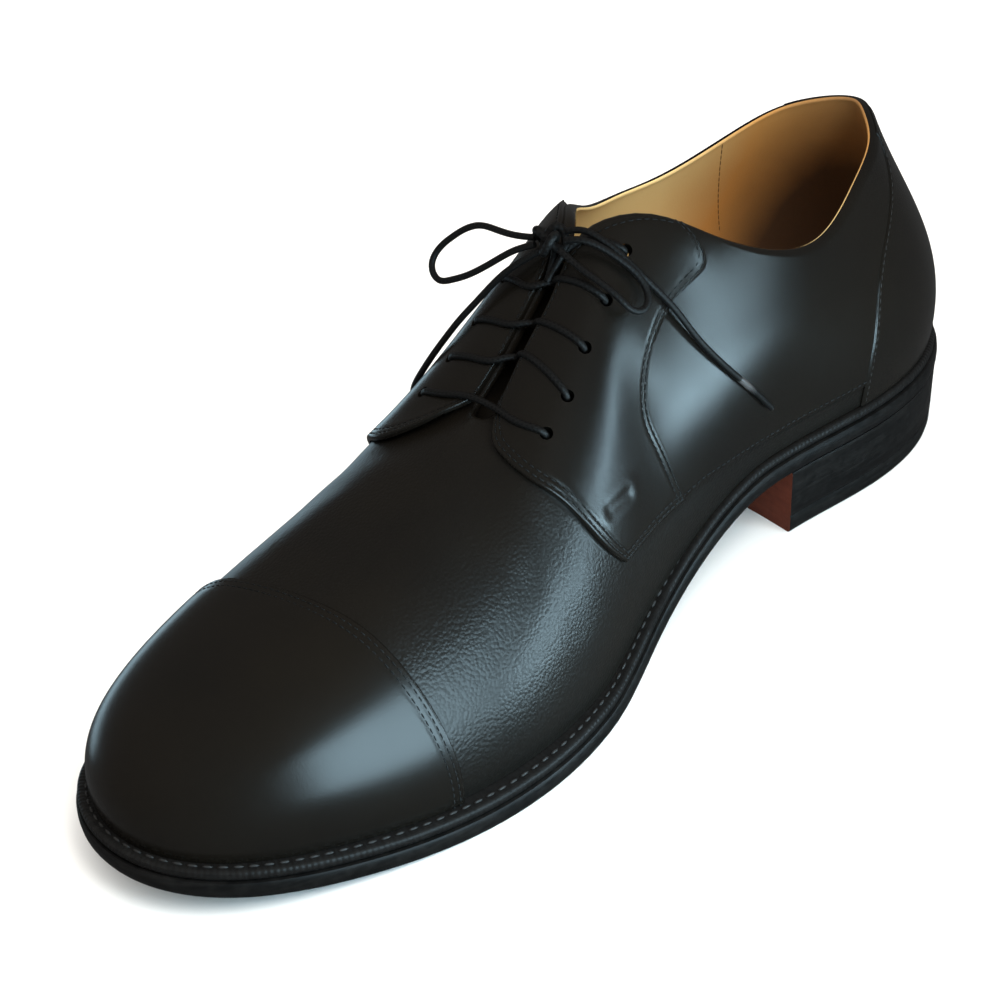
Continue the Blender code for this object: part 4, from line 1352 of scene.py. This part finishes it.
class DerbySizes(bpy.types.PropertyGroup):
    """Sizes of the dressing that a user would change."""
    lace: size_property("Lace", "Thickness of the round lace", 1.8 * MM)
    stitch_pitch: size_property("Stitch pitch", "From one stitch of the upper to the next", 2.1 * MM)
    stitch_length: size_property("Stitch length", "Length of one stitch of the upper", 1.8 * MM)
    thread: size_property("Thread", "Thickness of the upper's thread", 0.42 * MM)
    welt_pitch: size_property("Welt pitch", "From one stitch of the welt to the next", 3.6 * MM)
    welt_thread: size_property("Welt thread", "Thickness of the welt's thread", 0.8 * MM)


class DerbyColours(bpy.types.PropertyGroup):
    """Colours of the finishes."""
    leather: colour_property("Leather", "Black of the leather", (0.0030, 0.0028, 0.0026))
    undertone: colour_property("Undertone", "Brown that shows through the black", (0.0070, 0.0056, 0.0038))
    lining: colour_property("Lining", "Tan at the collar", (0.64, 0.480, 0.215))
    # Painted shade: the deep and heel colours darken the lining where shade falls inside the shoe
    lining_deep_shade: colour_property("Deep lining", "Brown towards the insole", (0.44, 0.215, 0.060))
    lining_heel_shade: colour_property("Heel lining", "Dark brown in the heel", (0.058, 0.032, 0.018))
    lining_thread: colour_property("Lining thread", "Thread of the lining's joint", (0.16, 0.085, 0.030))
    sole: colour_property("Sole edge", "Black ink of the sole edge", (0.0035, 0.0035, 0.0035))
    sole_worn: colour_property("Worn edge", "Rubbed ink of the sole edge", (0.010, 0.0095, 0.009))
    breast: colour_property("Heel breast", "Brown red leather under the ink", (0.11, 0.026, 0.014))
    lace: colour_property("Lace", "Black of the lace", (0.0050, 0.0048, 0.0046))
    # Painted shade between the strands of the lace
    lace_shade: colour_property("Lace shade", "Between the strands", (0.0022, 0.0022, 0.0022))
    aglet: colour_property("Aglet", "Film on the lace ends", (0.060, 0.060, 0.061))
    thread: colour_property("Thread", "Thread of the upper", (0.004, 0.004, 0.004))
    # Painted highlight: lighter than the upper's thread, standing in for the light line along the counter's
    # seam
    counter_thread: colour_property("Counter thread", "Thread of the counter", (0.016, 0.0155, 0.015))
    welt_thread: colour_property("Welt thread", "Thread of the welt", (0.018, 0.0175, 0.017))
    floor: colour_property("Floor", "Pale studio floor", (0.88, 0.88, 0.87))


def area_light(name, place, aim, size, watts, colour):
    """Soft light turned to a point."""
    light = bpy.data.lights.new(name, "AREA")
    light.shape = "RECTANGLE"
    light.size, light.size_y = size
    light.energy = watts
    light.color = colour
    thing = bpy.data.objects.new(name, light)
    thing.location = place
    thing.rotation_euler = (Vector(aim) - Vector(place)).to_track_quat("-Z", "Y").to_euler()
    thing.visible_camera = False
    bpy.context.scene.collection.objects.link(thing)
    return thing


def lay_floor(scene):
    """Pale floor, far larger than the view."""
    work = bmesh.new()
    bmesh.ops.create_grid(work, x_segments=1, y_segments=1, size=FLOOR_HALF)
    mesh = bpy.data.meshes.new("studio_floor")
    work.to_mesh(mesh)
    work.free()
    finish = Finish("pale_floor")
    mesh.materials.append(finish.set(Base_Color=rgba(scene.derby_colours.floor), Roughness=0.9))
    floor = bpy.data.objects.new("studio_floor", mesh)
    scene.collection.objects.link(floor)
    floor.visible_glossy = False
    floor.visible_shadow = False


def place_camera(scene):
    """Camera at the photograph's angle to the shoe."""
    camera = bpy.data.objects.new("photo_camera", bpy.data.cameras.new("photo_camera"))
    camera.data.lens = LENS
    camera.data.sensor_width = FILM_WIDTH
    camera.data.clip_start = 10 * MM
    back = (EYE - AIM).normalized()
    right = Vector((0, 0, 1)).cross(back).normalized()
    turned = Matrix((right, back.cross(right), back)).transposed() @ Matrix.Rotation(ROLL, 3, "Z")
    camera.matrix_world = Matrix.Translation(EYE) @ turned.to_4x4()
    scene.collection.objects.link(camera)
    scene.camera = camera


class DERBY_OT_stage(bpy.types.Operator):
    """Floor, soft light and the camera of the photograph"""
    bl_idname = "derby.stage"
    bl_label = "Stage"

    def execute(self, context):
        scene = context.scene
        scene.view_settings.view_transform = "Standard"
        lay_floor(scene)
        for window in WINDOWS:
            area_light(*window, WINDOW_COLOUR)
        for lamp in LAMPS:
            area_light(*lamp, LAMP_COLOUR).visible_glossy = False
        world = bpy.data.worlds.new("studio")
        world.use_nodes = True
        sky = world.node_tree.nodes["Background"]
        sky.inputs["Color"].default_value = rgba(SKY_COLOUR)
        sky.inputs["Strength"].default_value = SKY_STRENGTH
        scene.world = world
        place_camera(scene)
        return {"FINISHED"}


class DERBY_OT_bow(bpy.types.Operator):
    """Knot, loops and ends of the lace"""
    bl_idname = "derby.bow"
    bl_label = "Bow"

    def execute(self, context):
        colours = context.scene.derby_colours
        radius = context.scene.derby_sizes.lace / 2
        finish = lace_finish(colours)
        aglet = plain_finish("dark_aglet", colours.aglet, 0.32, speckle=300.0)
        fasten(make_knot(radius, finish), "lace", "lace_knot")
        for side in SIDES.values():
            free_lace("loop_" + side, radius, finish)
        for side in SIDES.values():
            free_lace("end_" + side, radius, finish, aglet)
        return {"FINISHED"}


class DERBY_OT_lacing(bpy.types.Operator):
    """Bar and crossings of the lace through the eyelets"""
    bl_idname = "derby.lacing"
    bl_label = "Lacing"

    def execute(self, context):
        radius = context.scene.derby_sizes.lace / 2
        finish = bpy.data.materials["black_lace"]
        fasten(make_lace_bar(radius, finish), "lace", "lace_bar")
        last = EYELET_PAIRS - 2
        for pair in range(1, last + 1):
            runs = make_lace_crossing(pair, radius, finish)
            if pair == last:
                runs += make_knot_runs(radius, finish)
            fasten(join(runs, f"lace_runs_{pair}"), "lace", f"lace_crossing_{pair}")
        return {"FINISHED"}


class DERBY_OT_upper(bpy.types.Operator):
    """Upper with its lining, overlays, eyelets and tongue"""
    bl_idname = "derby.upper"
    bl_label = "Upper"

    def execute(self, context):
        colours = context.scene.derby_colours
        smooth = smooth_leather(colours)
        grained = grained_leather(colours)
        tan = lining_leather(colours)
        upper = make_upper(grained, tan)
        for side, node in ((-1, "facing_lateral"), (1, "facing_medial")):
            flap = make_flap(side, smooth)
            pins = make_eyelet_punch(side)
            punch(flap, pins)
            punch(upper, pins)
            discard(pins)
            fasten(flap, "smooth_leather", node)
        fasten(upper, "grained_leather", "upper")
        fasten(make_toe_cap(smooth), "smooth_leather", "toe_cap")
        fasten(make_counter(smooth), "smooth_leather", "heel_counter")
        fasten(make_tongue(grained, tan), "grained_leather", "tongue")
        return {"FINISHED"}


class DERBY_OT_bottom(bpy.types.Operator):
    """Outsole, welt, heel and insole"""
    bl_idname = "derby.bottom"
    bl_label = "Sole and heel"

    def execute(self, context):
        colours = context.scene.derby_colours
        edge = sole_finish("black_sole_edge", colours.sole, colours.sole_worn)
        breast = sole_finish("brown_heel_breast", colours.breast, [0.6 * c for c in colours.breast])
        fasten(make_outsole(edge), "sole_edge", "outsole")
        fasten(make_welt(welt_finish(colours)), "sole_edge", "welt")
        fasten(make_heel(edge, breast), "sole_edge", "heel")
        fasten(make_insole(bpy.data.materials["tan_lining"]), "lining", "insole")
        return {"FINISHED"}


class DERBY_OT_stitching(bpy.types.Operator):
    """Stitches of the upper, the lining and the welt"""
    bl_idname = "derby.stitching"
    bl_label = "Stitching"

    def execute(self, context):
        colours = context.scene.derby_colours
        sizes = context.scene.derby_sizes
        pitch = sizes.stitch_pitch
        fine = (pitch, sizes.stitch_length, sizes.thread)
        thin = (pitch, sizes.stitch_length, 0.9 * sizes.thread)
        joined = (pitch, pitch, 0.9 * sizes.thread)
        bold = (sizes.welt_pitch, 0.75 * sizes.welt_pitch, sizes.welt_thread)
        black = plain_finish("black_thread", colours.thread, 0.75, THREAD_SPECKLE)
        # Painted highlight: the counter's thread is a lighter grey than the upper's black thread, so its
        # seam reads as a light line
        rubbed_and_highlit = plain_finish("grey_counter_thread", colours.counter_thread, 0.5, THREAD_SPECKLE)
        brown = plain_finish("brown_lining_thread", colours.lining_thread, 0.6, THREAD_SPECKLE)
        grey = plain_finish("grey_welt_thread", colours.welt_thread, 0.6, THREAD_SPECKLE)
        fasten(sew("upper_stitches", upper_stitch_paths(), *fine, black), "smooth_leather")
        fasten(sew("counter_stitches", counter_stitch_paths(), *thin, rubbed_and_highlit), "smooth_leather")
        fasten(sew("lining_stitches", lining_stitch_paths(), *joined, brown), "lining")
        fasten(sew("welt_stitches", [welt_stitch_path()], *bold, grey), "sole_edge")
        return {"FINISHED"}


STEPS = (DERBY_OT_stage, DERBY_OT_bow, DERBY_OT_lacing, DERBY_OT_upper, DERBY_OT_bottom, DERBY_OT_stitching)


class DERBY_PT_sidebar(bpy.types.Panel):
    """Sizes, colours and pieces of the shoe"""
    bl_idname = "DERBY_PT_sidebar"
    bl_label = "Cap Toe Derby"
    bl_space_type = "VIEW_3D"
    bl_region_type = "UI"
    bl_category = "Derby"

    def draw(self, context):
        for group in (context.scene.derby_sizes, context.scene.derby_colours):
            column = self.layout.column(align=True)
            for key in group.__annotations__:
                column.prop(group, key)
        column = self.layout.column(align=True)
        for step in STEPS:
            column.operator(step.bl_idname)


CLASSES = (DerbySizes, DerbyColours, *STEPS, DERBY_PT_sidebar)


def register():
    """Add the classes and the scene's two property groups."""
    for entry in CLASSES:
        bpy.utils.register_class(entry)
    bpy.types.Scene.derby_sizes = PointerProperty(type=DerbySizes)
    bpy.types.Scene.derby_colours = PointerProperty(type=DerbyColours)


def unregister():
    """Take the property groups and the classes away again."""
    del bpy.types.Scene.derby_colours
    del bpy.types.Scene.derby_sizes
    for entry in reversed(CLASSES):
        bpy.utils.unregister_class(entry)


def main():
    """Dress the shoe."""
    register()
    bpy.ops.derby.stage()
    bpy.ops.derby.bow()
    bpy.ops.derby.lacing()
    bpy.ops.derby.upper()
    bpy.ops.derby.bottom()
    bpy.ops.derby.stitching()


if __name__ == "__main__":
    main()
